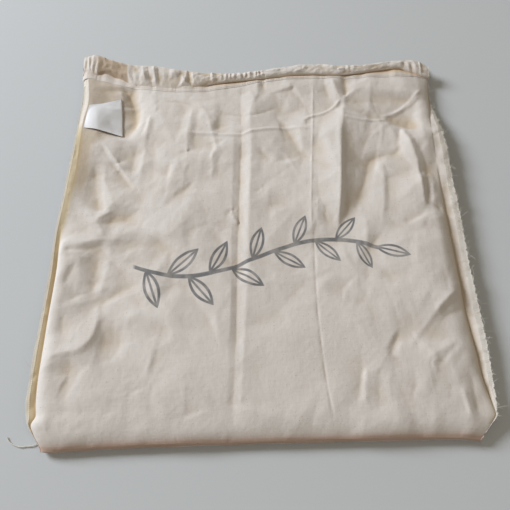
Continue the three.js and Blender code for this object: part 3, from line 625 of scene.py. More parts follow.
GATHER_SHADE_MOST = 0.9
BAND_START, BAND_END = (-189, -184), (-152, -148)
BAND_TOP = (0.85, 1)  # the painted shade is lighter towards the top edge
BAND_LOSS = 0.5
GROOVE_ROW = 2 + HEM_ROWS["strip"]  # where it is deepest
GROOVE_HALF = 4
GROOVE_SHADE = (0.2, 0.95)  # at the left and at the right of the place where it grows
GROOVE_GROWS = (-90, -20)

# The printed sprig, in metres: a stem along a sine with leaves by turns below and above it. Each pair
# of limits goes from no ink to full ink.
SPRIG_START = -0.108
STEM_LEVEL = -0.042
STEM_SWAY = 0.020
STEM_RATE = 22
STEM_HALF = (0.0026, 0.0018)
STEM_ENDS = ((-0.122, -0.118), (0.122, 0.118))
LEAF_COUNT = 11
LEAF_SPACING = 0.0205
LEAF_HALF = 0.0205  # half the length of the first leaf
LEAF_SHRINK = 0.0005  # each half length is this much shorter than the one before it
LEAF_ANGLE = 52
LEAF_BREADTH = 0.36  # share of its length
LEAF_EDGE = 0.86  # the outline's middle, and its half width, in shares of the leaf
LEAF_EDGE_HALF = (0.24, 0.15)
VEIN_HALF = (0.2, 0.11)
VEIN_END = (0.95, 0.8)
TIP_LEAF = (0.014, -0.004, -0.3, 0.017)  # its middle from the stem's tip, turn and half length
PRINT_HEIGHT = (0.006, 0.008)  # the print is on the front layer, above this

# Colours of the cotton, the print, the label and the thread
CREAM = ((0.68, 0.617, 0.57, 1), (0.72, 0.66, 0.615, 1))
SLUB_CREAM = (0.77, 0.71, 0.66, 1)
FLECK_BROWN = (0.34, 0.24, 0.14, 1)
INK_GREY = (0.15, 0.15, 0.155, 1)
LABEL_WHITE = ((0.77, 0.755, 0.765, 1), (0.86, 0.85, 0.87, 1))
THREAD_CREAM = ((0.62, 0.58, 0.50, 1), (0.80, 0.77, 0.70, 1))
FLOOR_GREY = (0.58, 0.59, 0.60, 1)
ROOM_LIGHT = (1, 0.925, 0.77, 1)
ROOM_STRENGTH = 0.28


def mix(a, b, share):
    return a + (b - a) * share


def smoothstep(value, low, high):
    share = np.clip((value - low) / (high - low), 0, 1)
    return share * share * (3 - 2 * share)


def rounded(share):
    """A quarter-round rise from 0 to 1."""
    return np.sqrt(1 - (1 - np.clip(share, 0, 1)) ** 2)


def curve_through(knots, values):
    """A smooth curve through a table's column, held level beyond its ends."""
    p, v = np.asarray(knots, float), np.asarray(values, float)
    slope = np.empty_like(v)
    slope[1:-1] = (v[2:] - v[:-2]) / (p[2:] - p[:-2])
    slope[0] = 1.5 * (v[1] - v[0]) / (p[1] - p[0]) - 0.5 * slope[1]
    slope[-1] = 1.5 * (v[-1] - v[-2]) / (p[-1] - p[-2]) - 0.5 * slope[-2]

    def at(x):
        x = np.clip(x, p[0], p[-1])
        i = np.clip(np.searchsorted(p, x, side="right") - 1, 0, len(p) - 2)
        h = p[i + 1] - p[i]
        t = (x - p[i]) / h
        near = (2 * t**3 - 3 * t**2 + 1) * v[i] + (t**3 - 2 * t**2 + t) * h * slope[i]
        far = (3 * t**2 - 2 * t**3) * v[i + 1] + (t**3 - t**2) * h * slope[i + 1]
        return near + far

    return at


def columns_of(table, names):
    """Each named column of a table as a curve of its first column."""
    rows = np.array(table, float)
    return {name: curve_through(rows[:, 0], rows[:, i + 1]) for i, name in enumerate(names)}


def read_all(curves, place):
    """The value of each of a table's curves at a place."""
    return {name: curve(place) for name, curve in curves.items()}


def running_length(points):
    """Length along a line up to each of its points."""
    return np.concatenate([[0], np.cumsum(np.linalg.norm(np.diff(points, axis=0), axis=1))])


def smooth_path(points, spacing):
    """Evenly spaced points on a smooth line through the given ones."""
    points = np.array(points, float)
    p = np.vstack([2 * points[0] - points[1], points, 2 * points[-1] - points[-2]])
    t = np.linspace(0, 1, SPAN_POINTS, endpoint=False)[:, None]
    fine = []
    for a, b, c, d in zip(p[:-3], p[1:-2], p[2:-1], p[3:]):
        fine.append(0.5 * (2 * b + (c - a) * t + (2 * a - 5 * b + 4 * c - d) * t**2
                           + (3 * b - a - 3 * c + d) * t**3))
    fine = np.vstack(fine + [points[-1:]])
    run = running_length(fine)
    at = np.linspace(0, run[-1], max(3, int(round(run[-1] / spacing)) + 1))
    return np.column_stack([np.interp(at, run, fine[:, i]) for i in range(points.shape[1])])


EDGES = ["left_edge", "left_seam", "right_seam", "right_edge"]
sides_at = columns_of(SIDES, EDGES)
rises_at = columns_of(RISES, EDGES)
reach_at = columns_of(REACHES, ["left", "right"])
fold_at = columns_of(FOLD, ["y"])["y"]
hem_at = columns_of(HEM, ["y"])["y"]
OVAL = ["y", "z", "long", "thick", "tilt"]
front_casing_at = columns_of(FRONT_CASING, OVAL)
back_casing_at = columns_of(BACK_CASING, OVAL)


def photo_camera():
    scene = bpy.context.scene
    camera = bpy.data.objects.new("camera", bpy.data.cameras.new("camera"))
    camera.location = CAMERA_PLACE
    camera.rotation_euler = (math.radians(CAMERA_PITCH), 0, 0)
    camera.data.sensor_width = CAMERA_SENSOR
    camera.data.lens = CAMERA_LENS
    camera.data.clip_start = 0.01
    scene.collection.objects.link(camera)
    scene.camera = camera


def pale_floor():
    bm = bmesh.new()
    bmesh.ops.create_grid(bm, x_segments=2, y_segments=2, size=3)
    bmesh.ops.translate(bm, vec=(0, 0, FLOOR_LEVEL), verts=bm.verts)
    floor = mesh_object("floor", bm)
    material, tree, surface = new_material("pale_floor")
    feed(tree, surface, {"Base Color": FLOOR_GREY, "Roughness": 0.9})
    floor.data.materials.append(material)


def room_light():
    """A warm room, with a large soft light low at the left, behind the bag, and a faint one in front."""
    scene = bpy.context.scene
    world = bpy.data.worlds.new("studio")
    world.use_nodes = True
    sky = world.node_tree.nodes["Background"]
    feed(world.node_tree, sky, {"Color": ROOM_LIGHT, "Strength": ROOM_STRENGTH})
    scene.world = world
    scene.view_settings.view_transform = "Standard"
    soft_light("key", place=(-2.8, 1.38, 1.66), size=1.4, power=146, colour=(0.87, 0.93, 1))
    soft_light("fill", place=(0.9, -0.9, 1.5), size=1.4, power=2, colour=(1, 0.95, 0.88))


def soft_light(name, place, size, power, colour):
    light = bpy.data.objects.new(name, bpy.data.lights.new(name, "AREA"))
    light.data.shape = "DISK"
    light.data.size = size
    light.data.energy = power
    light.data.color = colour
    light.location = place
    light.rotation_euler = (-light.location).to_track_quat("-Z", "Y").to_euler()
    bpy.context.scene.collection.objects.link(light)


def mesh_object(name, bm):
    mesh = bpy.data.meshes.new(name)
    bm.to_mesh(mesh)
    bm.free()
    piece = bpy.data.objects.new(name, mesh)
    bpy.context.scene.collection.objects.link(piece)
    return piece


def set_points(piece, points):
    """Moves a grid's points to places in millimetres, and shades it smooth."""
    piece.data.vertices.foreach_set("co", (points * MM).astype(np.float32).ravel())
    piece.data.polygons.foreach_set("use_smooth", np.ones(len(piece.data.polygons), bool))
    piece.data.update()


def thread_object(name, strands, diameter, sides=1):
    """Strands of thread, each a line of points in millimetres, as one curve."""
    curve = bpy.data.curves.new(name, "CURVE")
    curve.dimensions = "3D"
    curve.bevel_depth = diameter / 2 * MM
    curve.bevel_resolution = sides
    curve.use_fill_caps = True
    for points in strands:
        points = np.asarray(points, float) * MM
        spline = curve.splines.new("POLY")
        spline.points.add(len(points) - 1)
        spline.points.foreach_set("co", np.column_stack([points, np.ones(len(points))]).ravel())
    piece = bpy.data.objects.new(name, curve)
    bpy.context.scene.collection.objects.link(piece)
    return piece


def line_lift(x, y, line, left, right, fade, power):
    """Height from 0 to 1 of a ridge along a line, rounded or pressed, which fades out at both ends."""
    lift = np.zeros_like(x)
    room = LINE_ROOM * max(left, right)
    low, high = line.min(axis=0) - room, line.max(axis=0) + room
    near = np.nonzero((x > low[0]) & (x < high[0]) & (y > low[1]) & (y < high[1]))
    px, py = x[near], y[near]
    nearest = np.empty(len(px), int)
    for start in range(0, len(px), LINE_BATCH):
        part = slice(start, start + LINE_BATCH)
        gap = (px[part, None] - line[:, 0]) ** 2 + (py[part, None] - line[:, 1]) ** 2
        nearest[part] = gap.argmin(axis=1)
    way = np.gradient(line, axis=0)
    spacing = np.linalg.norm(way, axis=1)
    way = way / spacing[:, None]
    dx, dy = px - line[nearest, 0], py - line[nearest, 1]
    along = dx * way[nearest, 0] + dy * way[nearest, 1]
    across = dy * way[nearest, 0] - dx * way[nearest, 1]
    last = len(line) - 1
    past_end = (nearest == 0) | (nearest == last)
    distance = np.hypot(across, np.where(past_end, along, 0))
    share = (nearest + np.clip(along / spacing[nearest], -0.5, 0.5)) / last
    ends = smoothstep(share, 0, fade) * smoothstep(1 - share, 0, fade)
    uneven = 1
    if power == PRESSED:
        uneven = 1 - UNEVEN_SHARE + UNEVEN_SHARE * np.sin(line[nearest].sum(axis=1) / UNEVEN_LENGTH)
    lift[near] = ends * uneven * np.exp(-((distance / np.where(across > 0, left, right)) ** power))
    return lift


def swell_line(start, pull, end):
    t = np.linspace(0, 1, SWELL_POINTS)[:, None]
    return (1 - t) ** 2 * np.array(start) + 2 * t * (1 - t) * np.array(pull) + t**2 * np.array(end)


def on_grid(field, grid, spacing, x, y):
    """Heights read off an even grid of a field."""
    row = np.clip((y - field["corner"][1]) / spacing, 0, grid.shape[0] - LAST_CELL)
    column = np.clip((x - field["corner"][0]) / spacing, 0, grid.shape[1] - LAST_CELL)
    r, c = row.astype(int), column.astype(int)
    near = mix(grid[r, c], grid[r, c + 1], column - c)
    far = mix(grid[r + 1, c], grid[r + 1, c + 1], column - c)
    return mix(near, far, row - r)


def softened(grid, softness):
    """A grid of heights with its sharp edges eased, softness in steps of the grid."""
    spread = np.exp(-((np.arange(-SPREAD, SPREAD + 1) / softness) ** 2) / 2)
    for axis in (0, 1):
        grid = np.apply_along_axis(np.convolve, axis, grid, spread / spread.sum(), "same")
    return grid


def grid_places(field, spacing):
    down, across = (int(span / spacing) + 1 for span in field["span"][::-1])
    y, x = np.mgrid[:down, :across] * spacing
    return x + field["corner"][0], y + field["corner"][1]


def drawn_relief(field, creases, reach, softness):
    """Cloth drawn over creases like a skin, worked out from a coarse grid to a fine one."""
    relief, before = np.zeros((2, 2)), WHOLE_FIELD
    for spacing in field["grids"]:
        relief = on_grid(field, relief, before, *grid_places(field, spacing))
        held, count = np.zeros_like(relief), np.zeros_like(relief)
        for line in creases:
            spots = smooth_path(line, spacing / 2)
            at = []
            for i in (1, 0):
                place = np.rint((spots[:, i] - field["corner"][i]) / spacing).astype(int)
                at.append(np.clip(place, 0, relief.shape[1 - i] - 1))
            np.add.at(held, tuple(at), spots[:, 2])
            np.add.at(count, tuple(at), 1)
        fixed = count > 0
        held = held[fixed] / count[fixed]
        loss = 4 + (spacing / reach) ** 2
        for _ in range(RELIEF_PASSES):
            relief[fixed] = held
            wide = np.pad(relief, 1, mode="edge")
            beside = wide[:-2, 1:-1] + wide[2:, 1:-1] + wide[1:-1, :-2] + wide[1:-1, 2:]
            relief = mix(relief, beside / loss, RELIEF_STEP)
        relief[fixed] = held
        before = spacing
    return softened(relief, softness / spacing)


def add_facet(relief, across, down, corners, rises):
    """Adds a flat triangle to a relief, its places and corners counted in steps of the relief's grid."""
    a, b, c = corners
    low = np.maximum(np.floor(corners.min(axis=0)).astype(int), 0)
    high = np.ceil(corners.max(axis=0)).astype(int) + 1
    part = (slice(low[1], high[1]), slice(low[0], high[0]))
    if not relief[part].size:
        return
    gx, gy = across[part], down[part]
    area = (b[0] - a[0]) * (c[1] - a[1]) - (c[0] - a[0]) * (b[1] - a[1])
    u = ((gx - a[0]) * (c[1] - a[1]) - (c[0] - a[0]) * (gy - a[1])) / area
    v = ((b[0] - a[0]) * (gy - a[1]) - (gx - a[0]) * (b[1] - a[1])) / area
    inside = (u >= 0) & (v >= 0) & (u + v < 1)
    za, zb, zc = rises
    relief[part] += np.where(inside, za + u * (zb - za) + v * (zc - za), 0)


def crumpled(field, facets, softness):
    """Small flat facets, as handled cotton has: scattered spots of random height, joined by triangles."""
    fine = field["grids"][-1]
    x, y = grid_places(field, fine)
    across, down = (x - x[0, 0]) / fine, (y - y[0, 0]) / fine
    relief = np.zeros_like(x)
    for spacing, height in facets:
        counts = [int(span / spacing) + 3 for span in field["span"]]
        cells = np.stack(np.meshgrid(*[np.arange(n) - 1 for n in counts]), axis=-1).reshape(-1, 2)
        spots = (cells + rng.uniform(0, 1, cells.shape)) * spacing
        rise = rng.normal(0, height, len(spots))
        joined = delaunay_2d_cdt([tuple(spot) for spot in spots], [], [], 0, SAME_SPOT)
        corners, triangles, sources = np.array(joined[0]) / fine, joined[2], joined[3]
        rise = np.array([rise[source[0]] for source in sources])
        for triangle in triangles:
            add_facet(relief, across, down, corners[list(triangle)], rise[list(triangle)])
    return softened(relief, softness / fine)


def gather_lines():
    """The casing's gathers as creases over its face."""
    lines = []
    for x, lean, height, top, foot in GATHERS:
        lines.append([
            (x - lean / 2, HEM_FACE * top, GATHER_ENDS["top"] * GATHER_DEPTH * height),
            (x, HEM_FACE * (top + foot) / 2, GATHER_DEPTH * height),
            (x + lean / 2, HEM_FACE * foot, GATHER_ENDS["foot"] * GATHER_DEPTH * height),
        ])
    return lines


def slow_waves(x, y):
    """Low swells of the cloth in many directions."""
    lift = np.zeros_like(x)
    for turn, phase, length in WAVES:
        lift += np.sin(2 * math.pi / length * (x * math.cos(turn) + y * math.sin(turn)) + phase)
    return WAVE_HEIGHT * lift / math.sqrt(len(WAVES))


def panel_relief():
    """All the creases and facets of the front layer on one even grid."""
    x, y = grid_places(PANEL_FIELD, PANEL_FIELD["grids"][-1])
    from_calm = [(place - middle) / size for place, middle, size in zip((x, y), CALM_PLACE, CALM_SIZE)]
    calm = np.exp(-(from_calm[0] ** 2 + from_calm[1] ** 2))
    relief = (1 - CALM_SHARE * calm) * crumpled(PANEL_FIELD, FACETS, FACET_SOFTNESS)
    relief += CREASE_DEPTH * drawn_relief(PANEL_FIELD, CREASES, CREASE_REACH, CREASE_SOFTNESS)
    for start, pull, end, rise, left, right in SWELLS:
        line = swell_line(start, pull, end)
        relief += rise * line_lift(x, y, line, left, right, SWELL_FADE, ROUNDED)
    for path, rise, reach in RIDGES:
        power = ROUNDED if rise > ROUND_RISE else PRESSED
        relief += rise * line_lift(x, y, smooth_path(path, spacing=1), reach, reach, RIDGE_FADE, power)
    return relief


WAVES = [
    rng.uniform((0, 0, WAVE_LENGTHS[0]), (FULL_TURN, FULL_TURN, WAVE_LENGTHS[1])) for _ in range(WAVE_COUNT)
]
PANEL_RELIEF = panel_relief()
HEM_RELIEF = crumpled(HEM_FIELD, HEM_FACETS, GATHER_SOFTNESS)
EDGE_RELIEF = crumpled(PANEL_FIELD, EDGE_FACETS, FACET_SOFTNESS)
HEM_RELIEF += drawn_relief(HEM_FIELD, gather_lines(), GATHER_REACH, GATHER_SOFTNESS)


def relief_at(relief, x, y):
    """Height of a relief of the panel's field at places on the bag."""
    return on_grid(PANEL_FIELD, relief, PANEL_FIELD["grids"][-1], x, y)


def gather(x, share):
    """How far the casing stands out or is drawn in, at a share of the way from its foot to its top edge."""
    return on_grid(HEM_FIELD, HEM_RELIEF, HEM_FIELD["grids"][-1], x, HEM_FACE * share)


def side_columns(y):
    """Places across the bag of the seams and edges, one for each row."""
    side = read_all(sides_at, y[:, None])
    fray = FRAY * sum(np.sin(y * rate + phase) for rate, phase in FRAY_WAVES)
    side["right_edge"] = side["right_edge"] + fray[:, None]
    return side


def panel_shares():
    """Columns across the front, closer beside the seams and along the long creases."""
    turned = EDGE_RADIUS * (1 - np.cos(EDGE_TURNS)) / PANEL_WIDTH
    fine = np.linspace(turned[-1], 1 - turned[-1], FINE_STEPS)
    close = 1 + sum(FINE_GAIN * np.exp(-(((fine - middle) / half) ** 4)) for middle, half in FINE_COLUMNS)
    run = np.concatenate([[0], np.cumsum((close[1:] + close[:-1]) / 2)])
    middle = np.interp(np.linspace(0, run[-1], PANEL_COLUMNS + 1)[1:-1], run, fine)
    return np.concatenate([turned, middle, 1 - turned[::-1]])


def across_bag(y):
    """Where each column lies on the rows at y."""
    side = side_columns(y)
    flange = np.linspace(0, 1, FLANGE_COLUMNS + 1)
    return np.hstack([
        mix(side["left_edge"], side["left_seam"], flange[:-1]),
        mix(side["left_seam"], side["right_seam"], panel_shares()),
        mix(side["right_seam"], side["right_edge"], flange[1:]),
    ]), side


def with_rims(z, x, y, side, rise, drop=0):
    """A layer's height carried out over the seam allowances, where it lies a drop under their upper ply."""
    wrinkle = relief_at(EDGE_RELIEF, x, y)
    out = (x - side["left_seam"]) / (side["left_edge"] - side["left_seam"])
    rim = mix(rise["left_seam"], rise["left_edge"], out) - drop - RIM_ROLL * smoothstep(out, ROLL_START, 1)
    rim = rim + LEFT_WRINKLE * wrinkle * smoothstep(out, 0, WRINKLE_START["left"])
    z = np.where(x < side["left_seam"], rim, z)
    out = (x - side["right_seam"]) / (side["right_edge"] - side["right_seam"])
    rim = mix(rise["right_seam"], rise["right_edge"], out) - drop
    rim = rim + wrinkle * smoothstep(out, 0, WRINKLE_START["right"])
    return np.where(x > side["right_seam"], rim, z)


def front_height(x, y, side):
    """Height of the front layer, with its folds and creases, out to the edges of the allowances."""
    z = CROWN + slow_waves(x, y) + relief_at(PANEL_RELIEF, x, y)
    z -= RIGHT_FALL * smoothstep(x, *RIGHT_FALL_SPAN)
    slope = FOLD_SLOPE + FOLD_SLOPE_SWAY * np.sin(x / FOLD_SLOPE_RUN)
    z -= FOLD_FALL * np.exp(-np.maximum(y - fold_at(x) - FOLD_SLOPE_START, 0) / slope)
    below_hem = np.maximum(hem_at(x) - y, 0)
    z += HEM_PULL * gather(x, 0) * np.exp(-below_hem / HEM_PULL_REACH)
    rise = read_all(rises_at, y)
    share = np.clip((x - side["left_seam"]) / reach_at["left"](y), 0, 1)
    soft = smoothstep(share, SOFT_START, 1)
    share = mix(rounded(share), soft, smoothstep(rise["left_seam"], *RAISED_SEAM))
    z = mix(rise["left_seam"], z, share)
    z = mix(rise["right_seam"], z, rounded((side["right_seam"] - x) / reach_at["right"](y)))
    return with_rims(z, x, y, side, rise)


def back_height(x, y, side):
    """Height of the back layer, which lies on the surface and turns up to the seams."""
    rise = read_all(rises_at, y)
    left = 1 - np.clip((x - side["left_seam"]) / BACK_REACH["left"], 0, 1)
    right = 1 - np.clip((side["right_seam"] - x) / BACK_REACH["right"], 0, 1)
    sunk = PLIES + FLOOR_CLEAR
    z = FLOOR_CLEAR + (rise["left_seam"] - sunk) * left**2 + (rise["right_seam"] - sunk) * right**2
    return with_rims(z, x, y, side, rise, PLIES)


def oval(table, x, turn, lift):
    """Points of a casing's oval section at turns about its middle, lifted off it by its gathers."""
    at = read_all(table, x)
    along = at["long"] * np.cos(turn) + GATHER_OUT * lift * np.maximum(np.cos(turn), 0) ** 3
    up = at["thick"] * np.sin(turn) + lift * np.sqrt(np.maximum(np.sin(turn), 0))
    tilt = np.radians(at["tilt"])
    y = at["y"] + along * np.cos(tilt) - up * np.sin(tilt)
    return y, np.maximum(at["z"] + along * np.sin(tilt) + up * np.cos(tilt), FLOOR_CLEAR)


def stack(x, y, z):
    return np.stack(np.broadcast_arrays(x, y, z), axis=-1)


def back_casing_rows():
    """The back casing, from its inner foot over the top and round its outer edge to the underside."""
    turn = np.radians(np.linspace(*BACK_CASING_TURN, ROWS["back_casing"]))[:, None]
    x, _ = across_bag(np.full(ROWS["back_casing"], BACK_CASING_Y))
    return stack(x, *oval(back_casing_at, x, turn, BACK_GATHER * gather(x, BACK_GATHER_AT)))


def back_rows():
    """The back layer, from the mouth to the fold."""
    share = np.linspace(0, 1, ROWS["back"] + 1)[1:]
    x, side = across_bag(mix(*BACK_SPAN, share))
    y = mix(back_casing_at["y"](x) - BACK_LAP, fold_at(x) + FOLD_REACH, share[:, None])
    return stack(x, y, back_height(x, y, side))


def fold_rows():
    """The round lower half of the bottom fold."""
    turn = np.linspace(math.pi / 2, 0, ROWS["fold"] + 1)[1:, None]
    depth = FOLD_REACH * (1 - np.cos(turn))
    x, side = across_bag(FOLD_Y + depth[:, 0])
    y = fold_at(x) + depth
    return stack(x, y, mix(FOLD_MID, back_height(x, y, side), np.sin(turn)))


def fold_face_rows():
    """The flatter face of the bottom fold in front, which isn't quite straight."""
    depth, share = np.hsplit(np.array(FOLD_FACE), 2)
    x, side = across_bag(FOLD_Y + depth[:, 0])
    run, turn, slow_run = FOLD_RIPPLES
    wobble = FOLD_WOBBLE * np.sin(x / run + turn * share) * np.sin(x / slow_run) * (1 - share)
    y = fold_at(x) + np.maximum(depth + wobble, 0)
    return stack(x, y, mix(FOLD_MID, front_height(x, y, side), share))


def panel_rows():
    """The front layer, from the fold to the hem."""
    share = np.linspace(0, 1, ROWS["panel"] + 1)[1:]
    x, side = across_bag(mix(*PANEL_SPAN, share))
    y = mix(fold_at(x) + FOLD_REACH, hem_at(x), share[:, None])
    return stack(x, y, front_height(x, y, side))


def lap_rows():
    """The front layer's end, a little way under the hem."""
    inward, down = np.hsplit(np.array(LAP), 2)
    x, side = across_bag(np.full(len(LAP), LAP_Y))
    y = hem_at(x) + inward
    return stack(x, y, front_height(x, y, side) - down)


def cloth_points():
    """The bag's cloth as rows of points, from the back casing, under the bag, round the bottom fold and
    over the front to just under the turned hem, and which of the rows are the fold's face and the panel."""
    parts = [back_casing_rows(), back_rows(), fold_rows(), fold_face_rows(), panel_rows(), lap_rows()]
    marks = np.cumsum([len(part) for part in parts])
    return np.vstack(parts), {"fold": (marks[2], marks[3]), "panel": (marks[3], marks[4])}


def casing_foot(x, level):
    """The turn about the front casing's middle at which its face comes down to a level."""
    turns = np.radians(np.linspace(*FOOT_TURNS))[:, None]
    _, z = oval(front_casing_at, x, turns, 0)
    low = z < level
    return turns[np.where(low.any(axis=0), low.argmax(axis=0), len(turns) - 1), 0][None, :]


def hem_points():
    """The hem turned over at the mouth as rows of points, from its stitched edge over the casing's front
    and top and down its back, with the share from foot to top edge at each."""
    ends = read_all(sides_at, np.array(HEM_Y))
    x = np.linspace(ends["left_edge"], ends["right_edge"], HEM_COLUMNS)[None, :]
    hem = hem_at(x)
    from_left, from_right = x - ends["left_seam"], ends["right_seam"] - x
    inside = smoothstep(from_left, *SEAM_BLEND) * smoothstep(from_right, *SEAM_BLEND)
    step = HEM_STEP * mix(ALLOWANCE_STEP, 1, inside)
    base = front_height(x, hem, side_columns(np.array([HEM_Y])))
    sunk = FOOT_SINK * (1 - smoothstep(front_casing_at["long"](x), *FOOT_SINK_WIDTHS))
    foot_turn = casing_foot(x, base + step - sunk)
    foot_y, foot_z = oval(front_casing_at, x, foot_turn, FOOT_GATHER * gather(x, 0))
    hem = np.minimum(hem, foot_y - LIP_ROOM)
    # the stitched edge, then the strip up to the foot
    lip_y, lip_z = np.hsplit(np.array(LIP), 2)
    rows = [stack(x, hem + lip_y, base + lip_z * step)]
    share = (np.arange(HEM_ROWS["strip"]) + 1.0)[:, None] / (HEM_ROWS["strip"] + 1)
    sink = smoothstep(share, *STRIP_SINK)
    wrinkle = STRIP_WRINKLE * gather(x, -STRIP_DEPTH * (1 - share)) * sink
    strip_z = mix(base + step, foot_z, sink) + wrinkle * (1 - sink)
    rows.append(stack(x, mix(hem + LIP_INSIDE, foot_y, share), strip_z))
    # the casing, from its foot over the front to its top edge, then down its back
    way = np.linspace(0, 1, HEM_ROWS["front"])[:, None]
    turn = mix(foot_turn, 0, way)
    face = (np.cos(turn) - np.cos(foot_turn)) / (1 - np.cos(foot_turn))
    lift = gather(x, face) * mix(FOOT_GATHER, 1, smoothstep(way, 0, FOOT_BLEND))
    rows.append(stack(x, *oval(front_casing_at, x, turn, lift)))
    turn = np.radians(np.linspace(0, BEHIND_TURN, HEM_ROWS["behind"] + 1))[1:, None]
    fade = np.linspace(1, BEHIND_GATHER, HEM_ROWS["behind"])[:, None]
    rows.append(stack(x, *oval(front_casing_at, x, turn, fade * gather(x, 1))))
    below = np.full((len(LIP) + HEM_ROWS["strip"], HEM_COLUMNS), BELOW_FACE)
    past = np.full((HEM_ROWS["behind"], HEM_COLUMNS), PAST_FACE)
    return np.vstack(rows), np.vstack([below, face, past])


def tinted(*tints):
    """The colour of the cloth after each amount from 0 to 1 of a tint."""
    shade = 1
    for amount, tint in tints:
        shade = shade * (1 - np.clip(amount, 0, 1)[..., None] * (1 - np.array(tint)))
    return shade


def cloth_object(name, points, shade):
    """A grid of cloth through the given points, with its weave laid out flat, and its flat length."""
    count, across = points.shape[:2]
    bm = bmesh.new()
    bm.loops.layers.uv.new("weave")
    bm.verts.layers.float_color.new("shade")
    bmesh.ops.create_grid(bm, x_segments=across - 1, y_segments=count - 1, size=0.5, calc_uvs=True)
    piece = mesh_object(name, bm)
    run = np.linalg.norm(np.diff(points, axis=0), axis=2).mean(axis=1)
    flat_v = np.concatenate([[0], np.cumsum(run)])
    flat_u = points[count // 2, :, 0]
    flat = np.stack(np.broadcast_arrays(flat_u[None, :], flat_v[:, None]), axis=-1).reshape(-1, 2) * MM
    corner = np.empty(len(piece.data.loops), np.int32)
    piece.data.loops.foreach_get("vertex_index", corner)
    weave = piece.data.uv_layers["weave"]
    weave.uv.foreach_set("vector", flat[corner].astype(np.float32).ravel())
    # the painted shade and painted light, as a colour on each point
    colour = np.concatenate([shade, np.ones((count, across, 1))], axis=-1)
    piece.data.attributes["shade"].data.foreach_set("color", colour.astype(np.float32).ravel())
    set_points(piece, points)
    return piece, flat_v[-1]


def hollows(z):
    """How far each point lies below the mean of the points round it, from 0 to 1."""
    half = HOLLOW_SPAN // 2
    around = np.ones(HOLLOW_SPAN) / HOLLOW_SPAN
    mean = z
    for axis, margin in ((0, ((half, half), (0, 0))), (1, ((0, 0), (half, half)))):
        mean = np.apply_along_axis(np.convolve, axis, np.pad(mean, margin, mode="edge"), around, "valid")
    return np.clip((mean - z) / HOLLOW_DEPTH, 0, 1)


def cloth_shades(points, marks):
    """Painted shade and painted light on the cloth: shade in its hollows, in the valley along the right
    seam, on the margin beside the left allowance and on the bottom fold, and light coming through that
    allowance."""
    panel = slice(*marks["panel"])
    x, y = points[panel, :, 0], points[panel, :, 1]
    glow, fold, margin = (np.zeros(points.shape[:2]) for _ in range(3))
    # painted shade where the cloth lies lower than the cloth round it
    hollow = hollows(points[:, :, 2])
    hollow[:panel.start] = 0
    column = np.arange(points.shape[1])
    right = points.shape[1] - 1 - FLANGE_COLUMNS
    # painted shade in the valley along the right seam
    beside = np.exp(-(((column - right + SEAM_VALLEY_SHADE["columns_in"]) / SEAM_VALLEY_SHADE["half"]) ** 2))
    beside = beside * (column <= right + SEAM_VALLEY_SHADE["columns_past"])
    deep = 1 - VALLEY_LOSS * smoothstep(y, *VALLEY_FADE)
    hollow[panel] = np.maximum(hollow[panel], SEAM_VALLEY_SHADE["most"] * beside * deep)
    # painted light coming through the standing left allowance
    high = smoothstep(y, *GLOW_RISE) * (1 - smoothstep(y, *GLOW_FALL))
    lit = 1 - GLOW_LOSS * smoothstep(y, *GLOW_DIM)
    inner = FLANGE_COLUMNS + mix(*GLOW_PAST_SEAM, high)
    glow[panel] = lit * smoothstep(column, *GLOW_START) * (1 - smoothstep(column, FLANGE_COLUMNS, inner))
    # painted shadow of the raised left allowance on the margin beside it
    from_seam = x - x[:, FLANGE_COLUMNS:FLANGE_COLUMNS + 1]
    width = mix(*MARGIN_WIDTH, smoothstep(y, *MARGIN_DIM))
    margin_shadow = smoothstep(y, *MARGIN_RISE) * (1 - MARGIN_LOSS * smoothstep(y, *MARGIN_DIM))
    margin[panel] = margin_shadow * (1 - smoothstep(from_seam, MARGIN_FADE * width, width)) * (from_seam > 0)
    # painted shade on the fold's face, fading out towards the front layer
    fold[slice(*marks["fold"])] = 1 - smoothstep(np.array(FOLD_FACE)[:, 1:], *FOLD_SHADE)
    return tinted((hollow, HOLLOW_SHADE_TINT), (glow, GLOW_LIGHT_TINT), (fold, FOLD_SHADE_TINT), (margin, MARGIN_SHADOW_TINT))


def hem_shades(points, face):
    """Painted shade on the turned hem: in its gathers, in the groove under it and on the end turned from
    the light.
    """
    x = points[:, :, 0]
    on_face = (face >= 0) & (face <= 1)
    # painted shade in the pockets between the gathers
    hollow = np.clip(-gather(x, face) / GATHER_SHADE_DEPTH, 0, GATHER_SHADE_MOST)
    hollow = np.where(on_face, hollow, 0)
    # painted shade on the casing's flat left end
    turned = smoothstep(x, *BAND_START) * (1 - smoothstep(x, *BAND_END))
    turned = np.where(on_face, turned * (1 - BAND_LOSS * smoothstep(face, *BAND_TOP)), 0)
    # painted shade in the groove under the casing
    row = np.arange(len(points))[:, None]
    foot = np.exp(-(((row - GROOVE_ROW) / GROOVE_HALF) ** 2))
    groove = foot * mix(*GROOVE_SHADE, smoothstep(x, *GROOVE_GROWS))
    return tinted((hollow, HOLLOW_SHADE_TINT), (groove, GROOVE_SHADE_TINT), (turned, BAND_SHADE_TINT))


def on_cloth(points, row, column, lift):
    """A point on the cloth at a row and column, either of them between two, raised off it."""
    row = min(max(row, 1), len(points) - 1 - LAST_CELL)
    column = min(max(column, 0), points.shape[1] - LAST_CELL)
    r, c = int(row), int(column)
    a = mix(points[r, c], points[r, c + 1], column - c)
    b = mix(points[r + 1, c], points[r + 1, c + 1], column - c)
    normal = np.cross(points[r, c + 1] - points[r, c], points[r + 1, c] - points[r, c])
    normal /= np.linalg.norm(normal) + 1e-9
    return mix(a, b, row - r) + lift * normal


